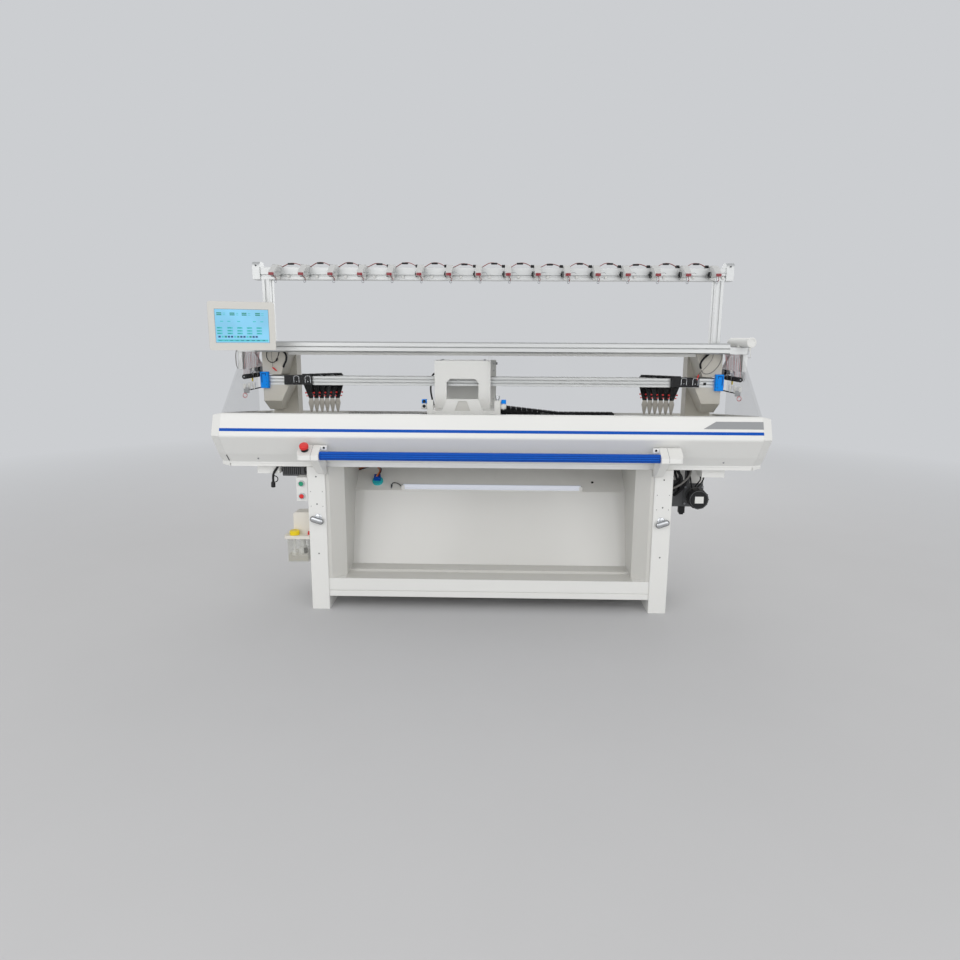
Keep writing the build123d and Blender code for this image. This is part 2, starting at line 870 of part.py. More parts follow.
# Stop bar brackets on the legs, each an inclined arm with a block beside it
arm_inner_x = bar_length / 2 + bar_end_gap
arm_outer_x = arm_inner_x + bracket_arm_width
block_outer_x = arm_outer_x + bracket_block_width
slope_rise_z = bracket_slope_back_z - bracket_slope_front_z
block_slope = Vector(bracket_top_back_y - bracket_front_y, slope_rise_z).normalized()
emergency_face = Plane(
    origin=(
        -(arm_outer_x + block_outer_x) / 2,
        (bracket_front_y + bracket_top_back_y) / 2,
        (bracket_slope_front_z + bracket_slope_back_z) / 2,
    ),
    x_dir=(1, 0, 0),
    z_dir=(0, -block_slope.Y, block_slope.X),
)
with BuildPart() as bar_brackets:
    along_x(
        [
            (bracket_front_y, bracket_slope_front_z),
            (bracket_front_y, bracket_bottom_z),
            (bracket_belly_y, bracket_belly_z),
            (leg_front_y, bracket_foot_z),
            (leg_front_y, bracket_foot_top_z),
            (bracket_waist_y, bracket_waist_z),
            (bracket_top_back_y, bracket_slope_back_z),
        ],
        (arm_inner_x, arm_outer_x),
    )
    along_x(
        [
            (bracket_front_y, bracket_slope_front_z),
            (bracket_front_y, bracket_bottom_z),
            (bracket_top_back_y, bracket_bottom_z),
            (bracket_top_back_y, bracket_slope_back_z),
        ],
        (arm_outer_x, block_outer_x),
    )
    outer_edges = bar_brackets.edges().filter_by(Axis.Z).sort_by(Axis.X)[-2:]
    fillet(outer_edges.sort_by(Axis.Y)[0], bracket_block_radius)
    rod_x(
        (arm_inner_x, arm_inner_x + bar_pin_length),
        bar_y,
        bar_z,
        bar_pin_radius + shaft_clearance,
        Mode.SUBTRACT,
    )
    mirror(bar_brackets.part, about=Plane.YZ)
    with BuildSketch(emergency_face) as neck:
        Circle(collar_radius)
    extrude(neck.sketch, amount=collar_height)
    with BuildSketch(emergency_face.offset(collar_height)) as neck_bore:
        Circle(mushroom_stem + shaft_clearance)
    extrude(neck_bore.sketch, amount=-mushroom_bore, mode=Mode.SUBTRACT)
write(bar_brackets, "bar_brackets")

# Stop bar: a ribbed extrusion that turns on pins in the brackets
with BuildPart() as stop_bar:
    bar_front = bar_y - bar_depth / 2
    bar_back = bar_y + bar_depth / 2
    bar_low = bar_z - bar_height / 2
    bar_high = bar_z + bar_height / 2
    groove_centres = [bar_z + bar_height * share for share in bar_groove_shares]
    front_side = notched(
        (bar_front, bar_low + bar_chamfer),
        (bar_front, bar_high - bar_chamfer),
        bar_groove,
        bar_groove,
        groove_centres,
        1,
    )
    along_x(
        front_side
        + [
            (bar_front + bar_chamfer, bar_high),
            (bar_back - bar_chamfer, bar_high),
            (bar_back, bar_high - bar_chamfer),
            (bar_back, bar_low + bar_chamfer),
            (bar_back - bar_chamfer, bar_low),
            (bar_front + bar_chamfer, bar_low),
        ],
        (-bar_length / 2, bar_length / 2),
    )
    pin_end = bar_length / 2 + bar_pin_length
    for side in (-1, 1):
        ends = sorted((side * bar_length / 2, side * pin_end))
        rod_x(ends, bar_y, bar_z, bar_pin_radius)
write(stop_bar, "stop_bar")

# Switch box on the left leg, with bores for two push buttons
switch_front_y = leg_front_y
switch_inner_x = -leg_outer
switch_outer_x = switch_inner_x - switch_width
button_x = (switch_inner_x + switch_outer_x) / 2
start_z = switch_bottom_z + switch_height * switch_start_share
stop_z = switch_bottom_z + switch_height * switch_stop_share
button_back_y = switch_front_y - bezel_height - button_proud + button_length
with BuildPart() as switch_box:
    block(
        (switch_outer_x, switch_inner_x),
        (switch_front_y, switch_front_y + switch_depth),
        (switch_bottom_z, switch_bottom_z + switch_height),
    )
    for button_z in (start_z, stop_z):
        bezel_front_y = switch_front_y - bezel_height
        rod_y(button_x, (bezel_front_y, switch_front_y), button_z, bezel_radius)
        rod_y(
            button_x,
            (bezel_front_y, button_back_y + button_proud),
            button_z,
            button_radius + shaft_clearance,
            Mode.SUBTRACT,
        )
write(switch_box, "switch_box")

for name, button_z in (("start_button", start_z), ("stop_button", stop_z)):
    with BuildPart() as button:
        rod_y(button_x, (button_back_y - button_length, button_back_y), button_z, button_radius)
        chamfer(button.faces().sort_by(Axis.Y)[0].edges(), button_chamfer)
    write(button, name)

# Emergency button: a mushroom head on a stem in the neck
with BuildPart() as emergency_button:
    head_rise = collar_height + mushroom_travel + clearance
    with BuildSketch(emergency_face.offset(head_rise)) as mushroom_head:
        Circle(mushroom_radius)
    extrude(mushroom_head.sketch, amount=mushroom_height)
    crown = emergency_face.offset(head_rise + mushroom_height).origin
    fillet(emergency_button.edges().filter_by(GeomType.CIRCLE).sort_by_distance(crown)[0], mushroom_round)
    with BuildSketch(emergency_face.offset(head_rise)) as mushroom_shaft:
        Circle(mushroom_stem)
    extrude(mushroom_shaft.sketch, amount=mushroom_travel - mushroom_bore + collar_height)
write(emergency_button, "emergency_button")

# Latch handles: oval grips on spindles in the leg fronts
for side, name in ((-1, "left_latch"), (1, "right_latch")):
    with BuildPart() as latch:
        grip_back_y = leg_front_y - latch_gap
        grip_plane = Plane(
            origin=(side * latch_x, grip_back_y, latch_z),
            x_dir=(1, 0, 0),
            z_dir=(0, -1, 0),
        )
        with BuildSketch(grip_plane) as grip:
            SlotOverall(latch_length, latch_width, rotation=side * latch_tilt)
        extrude(grip.sketch, amount=latch_thickness)
        rod_y(
            side * latch_x,
            (grip_back_y, leg_front_y + latch_spindle_depth),
            latch_z,
            latch_spindle_radius,
        )
    write(latch, name)

# Lubricator on the left leg: pump and filler on a lid, and an open clear tank under it
lid_inner_x = -leg_outer
lid_outer_x = lid_inner_x - oil_lid_width
lid_back_y = leg_front_y + oil_lid_depth
lid_top_z = oil_lid_z + oil_lid_thickness
with BuildPart() as oiler_head:
    block((lid_outer_x, lid_inner_x), (leg_front_y, lid_back_y), (oil_lid_z, lid_top_z))
    fillet(oiler_head.edges().filter_by(Axis.Z).group_by(Axis.X)[0], oil_lid_radius)
    block(
        (lid_inner_x - oil_pump_width, lid_inner_x),
        (lid_back_y - oil_pump_depth, lid_back_y),
        (lid_top_z, lid_top_z + oil_pump_height),
    )
    chamfer(oiler_head.faces().sort_by(Axis.Z)[-1].edges().sort_by(Axis.X)[0], oil_pump_chamfer)
    oil_cap_x = lid_outer_x + oil_cap_inset
    oil_cap_y = leg_front_y + oil_cap_front
    rod_z(oil_cap_x, oil_cap_y, (lid_top_z, lid_top_z + oil_neck_height), oil_neck_radius)
write(oiler_head, "oiler_head")

with BuildPart() as oiler_cap:
    cap_low_z = lid_top_z + clearance
    cap_high_z = cap_low_z + oil_cap_height
    rod_z(oil_cap_x, oil_cap_y, (cap_low_z, cap_high_z), oil_cap_radius)
    rod_z(
        oil_cap_x,
        oil_cap_y,
        (cap_low_z, lid_top_z + oil_neck_height + clearance),
        oil_neck_radius + clearance,
        Mode.SUBTRACT,
    )
    chamfer(oiler_cap.faces().sort_by(Axis.Z)[-1].edges(), oil_cap_chamfer)
write(oiler_cap, "oiler_cap")

with BuildPart() as oiler_tank:
    tank_x = (lid_outer_x + oil_tank_inset, lid_inner_x - oil_tank_inset)
    tank_y = (leg_front_y + oil_tank_inset, lid_back_y - oil_tank_inset)
    tank_z = (oil_lid_z - oil_tank_height, oil_lid_z)
    block(tank_x, tank_y, tank_z)
    fillet(oiler_tank.edges().filter_by(Axis.Z), oil_tank_radius)
    offset(
        amount=-oil_tank_wall,
        openings=oiler_tank.faces().sort_by(Axis.Z)[-1],
        kind=Kind.INTERSECTION,
    )
write(oiler_tank, "oiler_tank")

# Side towers: C-shaped box brackets whose arms leave the way of the feeders free
tower_ends = (tower_inner_x, tower_inner_x + tower_width)
arm_foot_z = rail_bottom_z - tower_arm_depth
with BuildPart() as towers:
    along_x(
        [
            (tower_column_y, beam_top_z),
            (tower_back_y, beam_top_z),
            (tower_back_y, tower_top_z),
            (tower_arm_front_y, tower_top_z),
            (tower_arm_front_y, tower_upper_z),
            (tower_column_y, tower_upper_z),
            (tower_column_y, rail_bottom_z),
            (tower_arm_front_y, rail_bottom_z),
            (tower_arm_front_y, arm_foot_z),
            (tower_gusset_y, arm_foot_z - tower_gusset_drop),
            (tower_column_y, arm_foot_z - tower_gusset_drop),
        ],
        tower_ends,
    )
    lean_y = (tower_arm_front_y, tower_column_y)
    along_y(
        [
            (tower_inner_x, tower_top_z),
            (tower_inner_x, tower_upper_z),
            (tower_inner_x + tower_upper_lean, tower_upper_z),
        ],
        lean_y,
        Mode.SUBTRACT,
    )
    lower_foot_z = arm_foot_z - tower_gusset_drop
    along_y(
        [
            (tower_inner_x, rail_bottom_z),
            (tower_inner_x, lower_foot_z),
            (tower_inner_x + tower_lower_lean, lower_foot_z),
        ],
        lean_y,
        Mode.SUBTRACT,
    )
    mirror(towers.part, about=Plane.YZ)
write(towers, "towers")

# Clear side shields inside the end caps
with BuildPart() as side_shields:
    shield_lip_y = cover_lip_y + cover_sheet
    shield_step_z = cover_top_z + shield_foot_rise
    along_x(
        [
            (shield_lip_y, shield_foot_z),
            (shield_back_y, shield_foot_z),
            (shield_back_y, tower_top_z),
            (shield_top_y, tower_top_z),
            (shield_front_y, shield_step_z),
            (shield_lip_y, shield_step_z),
        ],
        (cover_half - shield_thickness, cover_half),
    )
    mirror(side_shields.part, about=Plane.YZ)
write(side_shields, "side_shields")

# Clear guard doors that slide past each other in two lanes on the cover's lip
door_rise = tower_top_z - door_top_gap - cover_top_z - clearance
door_run = Vector(door_rise / tan(radians(door_angle)), door_rise)
for side, lane, name in ((-1, 0, "left_guard_door"), (1, 1, "right_guard_door")):
    with BuildPart() as guard_door:
        foot = Vector(door_foot_y + lane * door_lane, cover_top_z + clearance)
        head = foot + door_run
        door_section = [
            (foot.X, foot.Y),
            (foot.X + door_thickness / sin(radians(door_angle)), foot.Y),
            (head.X + door_thickness / sin(radians(door_angle)), head.Y),
            (head.X, head.Y),
        ]
        along_x(door_section, sorted((side * door_half, -side * door_overlap)))
    write(guard_door, name)

# Yarn table: front beam with corner pieces and hangers, and a tray on the towers
beam_front = table_beam_front_y
beam_top = table_bottom_z + table_beam_height
with BuildPart() as table_beam:
    beam_face = notched(
        (beam_front, table_bottom_z + table_beam_chamfer),
        (beam_front, beam_top - table_beam_chamfer),
        table_beam_groove,
        table_beam_groove,
        [(table_bottom_z + beam_top) / 2],
        1,
    )
    along_x(
        beam_face
        + [
            (beam_front + table_beam_chamfer, beam_top),
            (table_back_y, beam_top),
            (table_back_y, table_bottom_z),
            (beam_front + table_beam_chamfer, table_bottom_z),
        ],
        (0, table_beam_half),
    )
    corner_top = table_bottom_z + table_corner_height
    block((table_beam_half, table_corner_end), (beam_front, table_back_y), (table_bottom_z, corner_top))
    corner_edges = table_beam.edges().filter_by(Axis.Z).sort_by(Axis.X)[-2:]
    fillet(corner_edges.sort_by(Axis.Y)[0], table_corner_radius)
    block(
        (cover_half, table_corner_end),
        (table_back_y - hanger_depth, table_back_y),
        (table_bottom_z - hanger_drop, table_bottom_z),
    )
    mirror(table_beam.part, about=Plane.YZ)
write(table_beam, "table_beam")

with BuildPart() as yarn_table:
    tray_z = table_bottom_z + tray_sheet
    rim_z = table_bottom_z + tray_rim
    tray_ends = (-table_beam_half, table_beam_half)
    block(tray_ends, (table_back_y, machine_back_y), (table_bottom_z, tray_z))
    block(tray_ends, (machine_back_y - tray_sheet, machine_back_y), (tray_z, rim_z))
    for side in (-1, 1):
        rim_x = sorted((side * (table_beam_half - tray_sheet), side * table_beam_half))
        block(rim_x, (table_back_y, machine_back_y), (tray_z, rim_z))
    lip_half = tower_inner_x - clearance
    lip_y = (table_back_y, table_back_y + tray_sheet)
    block((-lip_half, lip_half), lip_y, (table_bottom_z - table_lip_drop, table_bottom_z))
write(yarn_table, "yarn_table")

# Posts: slotted extrusions on the tray
with BuildPart() as posts:
    post_low_y = post_centre_y - post_depth / 2
    post_high_y = post_centre_y + post_depth / 2
    post_z = (table_bottom_z + tray_sheet, top_beam_bottom_z)
    post_x_ends = (post_x - post_width / 2, post_x + post_width / 2)
    block(post_x_ends, (post_low_y, post_high_y), post_z)
    slot_x = (post_x - post_slot / 2, post_x + post_slot / 2)
    slot_y = (post_centre_y - post_slot / 2, post_centre_y + post_slot / 2)
    block(slot_x, (post_low_y, post_low_y + post_slot_depth), post_z, Mode.SUBTRACT)
    block(slot_x, (post_high_y - post_slot_depth, post_high_y), post_z, Mode.SUBTRACT)
    block((post_x_ends[0], post_x_ends[0] + post_slot_depth), slot_y, post_z, Mode.SUBTRACT)
    block((post_x_ends[1] - post_slot_depth, post_x_ends[1]), slot_y, post_z, Mode.SUBTRACT)
    mirror(posts.part, about=Plane.YZ)
write(posts, "posts")

# Top beam: slotted extrusion with rounded end plates
with BuildPart() as top_beam:
    beam_low_y = top_beam_front_y
    beam_high_y = top_beam_front_y + top_beam_depth
    block((-top_beam_half, top_beam_half), (beam_low_y, beam_high_y), (top_beam_bottom_z, top_beam_top_z))
    slot_mid_z = top_beam_bottom_z + top_beam_height * top_slot_share
    slot_ends = (slot_mid_z - top_slot_height / 2, slot_mid_z + top_slot_height / 2)
    for slot_y in (
        (beam_low_y, beam_low_y + top_slot_depth),
        (beam_high_y - top_slot_depth, beam_high_y),
    ):
        block((-top_beam_half, top_beam_half), slot_y, slot_ends, Mode.SUBTRACT)
    for side in (-1, 1):
        plate_x = sorted((side * top_beam_half, side * (top_beam_half + end_plate_thickness)))
        block(
            plate_x,
            (beam_low_y - end_plate_overhang, beam_high_y + end_plate_overhang),
            (top_beam_bottom_z, top_beam_top_z + end_plate_rise),
        )
    plate_edges = top_beam.edges().filter_by(Axis.X).group_by(Axis.Z)[-1]
    fillet(plate_edges, end_plate_radius)
write(top_beam, "top_beam")

# Yarn tension units clamped over the top beam's front edge, each with discs and a lamp bar
unit_front_y = top_beam_front_y - unit_reach
unit_back_y = top_beam_front_y + top_beam_depth
with BuildPart() as tension_units:
    unit_low_z = top_beam_top_z - unit_drop
    for index in range(unit_count):
        unit_x = unit_shift + (index - (unit_count - 1) / 2) * unit_pitch
        unit_ends = (unit_x - unit_width / 2, unit_x + unit_width / 2)
        along_x(
            [
                (unit_back_y, top_beam_top_z),
                (unit_back_y - unit_back_run, top_beam_top_z + unit_rise),
                (top_beam_front_y - unit_ridge_reach, top_beam_top_z + unit_rise),
                (unit_front_y, top_beam_top_z - unit_nose_drop),
                (unit_front_y, unit_low_z),
                (top_beam_front_y - unit_reach / 2, unit_low_z),
                (top_beam_front_y, unit_low_z + unit_rise),
                (top_beam_front_y, top_beam_top_z),
            ],
            unit_ends,
        )
        disc_place = Plane.YZ.offset(unit_ends[0])
        with BuildSketch(disc_place) as disc:
            with Locations((top_beam_front_y - unit_disc_gap, unit_low_z + unit_disc_radius)):
                RegularPolygon(unit_disc_radius, unit_disc_sides)
        extrude(disc.sketch, amount=-unit_disc_length)
        block(
            (unit_x - unit_lens_width / 2, unit_x + unit_lens_width / 2),
            (unit_front_y - unit_lens_depth, unit_front_y),
            (unit_low_z, unit_low_z + unit_lens_height),
        )
write(tension_units, "tension_units")

# Side yarn tensioners: a bar on each tower with a row of disc stubs
with BuildPart() as side_tensioners:
    bar_root = tower_inner_x + tower_width
    bar_ends = (bar_root, bar_root + side_bar_thickness)
    bar_span = (side_bar_front_y, side_bar_front_y + side_bar_depth)
    block(bar_ends, bar_span, (side_bar_z, side_bar_z + side_bar_height))
    stub_step = side_bar_depth / side_stub_count
    stub_ends = (bar_ends[1], bar_ends[1] + side_stub_length)
    stub_z = side_bar_z + side_bar_height / 2
    for index in range(side_stub_count):
        stub_y = side_bar_front_y + stub_step * (index + 1 / 2)
        rod_x(stub_ends, stub_y, stub_z, side_stub_radius)
    mirror(side_tensioners.part, about=Plane.YZ)
write(side_tensioners, "side_tensioners")

# Feeder rails: three grooved extrusions that rest on the towers' lower arms
rail_places = [throat_y + step * rail_pitch for step in (-1, 0, 1)]
with BuildPart() as feeder_rails:
    grooves = [rail_bottom_z + rail_height * share for share in rail_groove_shares]
    for rail_y in rail_places:
        low_y = rail_y - rail_thickness / 2
        high_y = rail_y + rail_thickness / 2
        sides = []
        for edge_y, way_in in ((low_y, 1), (high_y, -1)):
            ends = ((edge_y, rail_bottom_z), (edge_y, rail_top_z))
            sides.append(notched(*ends, 2 * rail_groove, rail_groove, grooves, way_in))
        along_x(sides[0] + list(reversed(sides[1])), (-rail_half, rail_half))
write(feeder_rails, "feeder_rails")

# Stop blocks near the ends of the front rail
with BuildPart() as rail_end_stops:
    front_rail_y = rail_places[0] - rail_thickness / 2
    stop_low_z = rail_bottom_z - stop_block_drop
    block(
        (stop_block_x - stop_block_width / 2, stop_block_x + stop_block_width / 2),
        (front_rail_y - stop_block_depth, front_rail_y),
        (stop_low_z, stop_low_z + stop_block_height),
    )
    front_edges = rail_end_stops.faces().sort_by(Axis.Y)[0].edges()
    fillet(front_edges, stop_block_radius)
    mirror(rail_end_stops.part, about=Plane.YZ)
write(rail_end_stops, "rail_end_stops")


def feeder(side, track):
    """A yarn feeder: a slider on one face of a rail, and an arm down to its leaf-shaped nozzle."""
    rail_y = rail_places[track // 2]
    face = 1 if track % 2 else -1
    near_y = rail_y + face * (rail_thickness / 2 + clearance)
    far_y = near_y + face * slider_depth
    slider_low = rail_bottom_z + slider_foot
    slider_high = rail_top_z + slider_lip
    outer_x = feeder_outer_x - feeder_stagger * track
    inner_x = outer_x - slider_length
    arm_x = side * (inner_x + feeder_arm_inset)
    nozzle_y = throat_y + (track - 5 / 2) * nozzle_pitch
    shoulder_z = nozzle_tip_z + nozzle_shoulder
    slider_y = (near_y + far_y) / 2
    with BuildPart() as piece:
        along_x(
            [
                (far_y, slider_low),
                (near_y, slider_low),
                (near_y, rail_top_z + clearance),
                (rail_y + face * clearance, rail_top_z + clearance),
                (rail_y + face * clearance, slider_high),
                (far_y, slider_high),
            ],
            sorted((side * inner_x, side * outer_x)),
        )
        along_x(
            [
                (slider_y - feeder_arm_depth / 2, slider_low),
                (slider_y + feeder_arm_depth / 2, slider_low),
                (nozzle_y + nozzle_thickness / 2, shoulder_z),
                (nozzle_y - nozzle_thickness / 2, shoulder_z),
            ],
            (arm_x - feeder_arm_width / 2, arm_x + feeder_arm_width / 2),
        )
        waist_z = nozzle_tip_z + nozzle_shoulder * nozzle_waist_share
        neck_z = nozzle_tip_z + nozzle_shoulder * nozzle_neck_share
        along_y(
            [
                (arm_x - feeder_arm_width / 2, shoulder_z),
                (arm_x - nozzle_width / 2, waist_z),
                (arm_x - nozzle_tip_width, neck_z),
                (arm_x - nozzle_tip_width / 2, nozzle_tip_z),
                (arm_x + nozzle_tip_width / 2, nozzle_tip_z),
                (arm_x + nozzle_tip_width, neck_z),
                (arm_x + nozzle_width / 2, waist_z),
                (arm_x + feeder_arm_width / 2, shoulder_z),
            ],
            (nozzle_y - nozzle_thickness / 2, nozzle_y + nozzle_thickness / 2),
        )
    return piece


# Yarn feeders: one on each face of each rail, parked at either side
for side, side_name in ((-1, "left"), (1, "right")):
    for track in range(2 * len(rail_places)):
        write(feeder(side, track), f"{side_name}_feeder_{track + 1}")

# Carriage cam boxes: a front and a rear casting on the guides, with the front plate and plugs
cam_ends = (carriage_left_x, carriage_right_x)
cam_inner_y = throat_y - cam_inner_offset
cam_front_y = throat_y - cam_front_offset
cam_foot_y = throat_y - cam_foot_offset
cam_heel_y = throat_y - cam_heel_offset
shoe_front_y = throat_y - shoe_reach
shoe_back_y = 2 * guide_front_y - shoe_front_y
shoe_low_z = guide_top_z - shoe_lip
shoe_roof_z = guide_top_z + clearance
head_low_y = guide_front_y - guide_head_width / 2 - clearance
head_high_y = guide_front_y + guide_head_width / 2 + clearance
shoe_top_z = guide_top_z + shoe_height
with BuildPart() as cam_boxes:
    along_x(
        [
            (cam_inner_y, cam_top_z),
            (cam_inner_y, bed_top_z + cam_lift - (bed_edge_y - cam_inner_y) * slope),
            (cam_foot_y, bed_top_z + cam_lift - (bed_edge_y - cam_foot_y) * slope),
            (cam_heel_y, bed_top_z + cam_lift - (bed_edge_y - cam_foot_y) * slope),
            (shoe_back_y, shoe_low_z),
            (head_high_y, shoe_low_z),
            (head_high_y, shoe_roof_z),
            (head_low_y, shoe_roof_z),
            (head_low_y, shoe_low_z),
            (shoe_front_y, shoe_low_z),
            (shoe_front_y, shoe_top_z),
            (cam_front_y, shoe_top_z),
            (cam_front_y, cam_top_z),
        ],
        cam_ends,
    )
    mirror(cam_boxes.part, about=middle)
    plate_y = (cam_front_y, cam_front_y + cam_plate)
    tongue_x = carriage_left_x + tongue_left
    tongue_mid = tongue_x + tongue_base / 2
    horn_z = (cam_top_z, cam_top_z + horn_height)
    for horn_x in (
        (cam_ends[0], cam_ends[0] + horn_width),
        (cam_ends[1] - horn_width, cam_ends[1]),
    ):
        block(horn_x, plate_y, horn_z)
    along_y(
        [
            (tongue_x, cam_top_z),
            (tongue_x + tongue_base, cam_top_z),
            (tongue_mid + tongue_top / 2, cam_top_z + tongue_height),
            (tongue_mid - tongue_top / 2, cam_top_z + tongue_height),
        ],
        plate_y,
    )
    along_y(
        [
            (tongue_mid - recess_base / 2, cam_top_z),
            (tongue_mid + recess_base / 2, cam_top_z),
            (tongue_mid + recess_top / 2, cam_top_z + recess_rise),
            (tongue_mid - recess_top / 2, cam_top_z + recess_rise),
        ],
        (plate_y[0], plate_y[0] + recess_depth),
        Mode.SUBTRACT,
    )
    plug_z = cam_top_z + plug_rise
    plug_y = plate_y[1] + plug_radius + plug_seat
    for start, direction in ((cam_ends[0], -1), (cam_ends[1], 1)):
        root_x = start - direction * cam_plate
        ends = sorted((root_x, start + direction * plug_length))
        rod_x(ends, plug_y, plug_z, plug_radius)
        block(
            sorted((root_x, start)),
            (plate_y[1], plug_y + plug_radius + plug_seat),
            (cam_top_z, plug_z + plug_radius + plug_seat),
        )
    arm_y = (2 * throat_y - shoe_front_y, machine_back_y - sheet - chain_side_gap)
    arm_ends = (carriage_right_x - chain_arm_width, carriage_right_x)
    chain_arm_z = (shoe_top_z + chain_arm_rise, shoe_top_z + chain_arm_rise + chain_arm_height)
    block(arm_ends, (2 * throat_y - shoe_back_y, arm_y[1]), chain_arm_z)
    block(arm_ends, (2 * throat_y - shoe_back_y, arm_y[0]), (shoe_top_z, chain_arm_z[0]))
write(cam_boxes, "cam_boxes")

# Carriage bridge: a folded portal over the rails that joins the two cam boxes
bridge_x = carriage_left_x + bridge_left
bridge_ends = (bridge_x, bridge_x + bridge_width)
bridge_y = (throat_y - bridge_half_depth, throat_y + bridge_half_depth)
bridge_top_z = cam_top_z + bridge_height
window_ends = (bridge_ends[0] + bridge_leg, bridge_ends[1] - bridge_leg)
window_top_z = cam_top_z + bridge_window
with BuildPart() as carriage_bridge:
    along_y(
        [
            (bridge_ends[0], cam_top_z),
            (window_ends[0], cam_top_z),
            (window_ends[0], window_top_z - bridge_window_chamfer),
            (window_ends[0] + bridge_window_chamfer, window_top_z),
            (window_ends[1] - bridge_window_chamfer, window_top_z),
            (window_ends[1], window_top_z - bridge_window_chamfer),
            (window_ends[1], cam_top_z),
            (bridge_ends[1], cam_top_z),
            (bridge_ends[1], bridge_top_z),
            (bridge_ends[0], bridge_top_z),
        ],
        (bridge_y[0], bridge_y[0] + bridge_sheet),
    )
    block(bridge_ends, bridge_y, (bridge_top_z - bridge_sheet, bridge_top_z))
    block(
        (bridge_ends[0], bridge_ends[1] + bridge_rear_extra),
        (bridge_y[1] - bridge_sheet, bridge_y[1]),
        (cam_top_z, bridge_top_z),
    )
    return_y = (bridge_y[0], bridge_y[0] + bridge_return)
    for return_x in (
        (bridge_ends[0], bridge_ends[0] + bridge_sheet),
        (window_ends[0] - bridge_sheet, window_ends[0]),
        (window_ends[1], window_ends[1] + bridge_sheet),
        (bridge_ends[1] - bridge_sheet, bridge_ends[1]),
    ):
        block(return_x, return_y, (cam_top_z, window_top_z - bridge_window_chamfer))
write(carriage_bridge, "carriage_bridge")

# Drag chain: a flat run in the trough and a run that climbs to the carriage's arm
chain_floor_z = trough_floor_z + sheet + chain_seat_gap
chain_mid_z = chain_floor_z + chain_height
chain_upper_z = chain_mid_z + chain_height
chain_start_x = carriage_right_x + clearance
chain_y = (trough_inner_y + sheet + chain_side_gap, trough_inner_y + sheet + chain_side_gap + chain_width)


def link_edge(x_from, z_from, x_to, z_to):
    """Notched top edge of a run of links between two places."""
    length = Vector(x_to - x_from, z_to - z_from).length
    count = int(length / chain_link)
    points = []
    for index in range(count):
        for travel, drop in (
            (0, 0),
            (chain_link - chain_notch_width, 0),
            (chain_link - chain_notch_width, chain_notch),
            (chain_link, chain_notch),
        ):
            share = (index * chain_link + travel) / length
            points.append((x_from + (x_to - x_from) * share, z_from + (z_to - z_from) * share - drop))
    return points


with BuildPart() as drag_chain:
    chain_top_start_z = chain_arm_z[1]
    along_y(
        [(chain_left_x, chain_floor_z), (chain_right_x, chain_floor_z)]
        + link_edge(chain_right_x, chain_upper_z, chain_bend_x, chain_upper_z)
        + link_edge(chain_bend_x, chain_upper_z, chain_start_x, chain_top_start_z)
        + [(chain_start_x, chain_top_start_z), (chain_start_x, chain_mid_z), (chain_left_x, chain_mid_z)],
        chain_y,
    )
write(drag_chain, "drag_chain")

# Take-down roller and the pressing roller beside it
gearbox_bore_x = gearbox_inner_x + gearbox_bore_depth
with BuildPart() as takedown_roller:
    rod_x((-roller_half, roller_half), roller_places[0], roller_z, roller_radius)
    rod_x((-leg_inner - roller_shaft_seat, gearbox_bore_x), roller_places[0], roller_z, roller_shaft_radius)
write(takedown_roller, "takedown_roller")

with BuildPart() as pressing_roller:
    rod_x((-roller_half, roller_half), roller_places[1], roller_z, roller_radius)
    shaft_end = leg_inner + roller_shaft_seat
    rod_x((-shaft_end, shaft_end), roller_places[1], roller_z, roller_shaft_radius)
write(pressing_roller, "pressing_roller")

# Take-down drive under the beam, right of the leg: gear housing with a motor at its front
with BuildPart() as takedown_motor:
    gearbox_ends = (gearbox_inner_x, gearbox_inner_x + gearbox_width)
    gearbox_y = (gearbox_front_y, gearbox_front_y + gearbox_depth)
    gearbox_z = (beam_bottom_z - gearbox_height, beam_bottom_z)
    block(gearbox_ends, gearbox_y, gearbox_z)
    chamfer(takedown_motor.faces().sort_by(Axis.Z)[0].edges().filter_by(Axis.Y), gearbox_chamfer)
    rod_x(
        (gearbox_inner_x, gearbox_bore_x + clearance),
        roller_places[0],
        roller_z,
        roller_shaft_radius + shaft_clearance,
        Mode.SUBTRACT,
    )
    motor_z = beam_bottom_z - motor_drop
    flange_y = (gearbox_front_y - motor_flange_thickness, gearbox_front_y)
    block(
        (motor_x - motor_flange / 2, motor_x + motor_flange / 2),
        flange_y,
        (motor_z - motor_flange / 2, motor_z + motor_flange / 2),
    )
    rod_y(motor_x, (flange_y[0] - motor_length, flange_y[0]), motor_z, motor_radius)
write(takedown_motor, "takedown_motor")

# Racking motor under the beam, left of the leg
with BuildPart() as racking_motor:
    racking_ends = (racking_x, racking_x + racking_length)
    racking_y = (racking_front_y, racking_front_y + racking_width)
    block(racking_ends, racking_y, (beam_bottom_z - racking_height, beam_bottom_z))
    chamfer(racking_motor.faces().sort_by(Axis.Z)[0].edges().filter_by(Axis.X), racking_chamfer)
    rod_x(
        (racking_ends[1], racking_ends[1] + racking_bell_length),
        (racking_y[0] + racking_y[1]) / 2,
        beam_bottom_z - racking_height / 2,
        racking_bell_radius,
    )
write(racking_motor, "racking_motor")

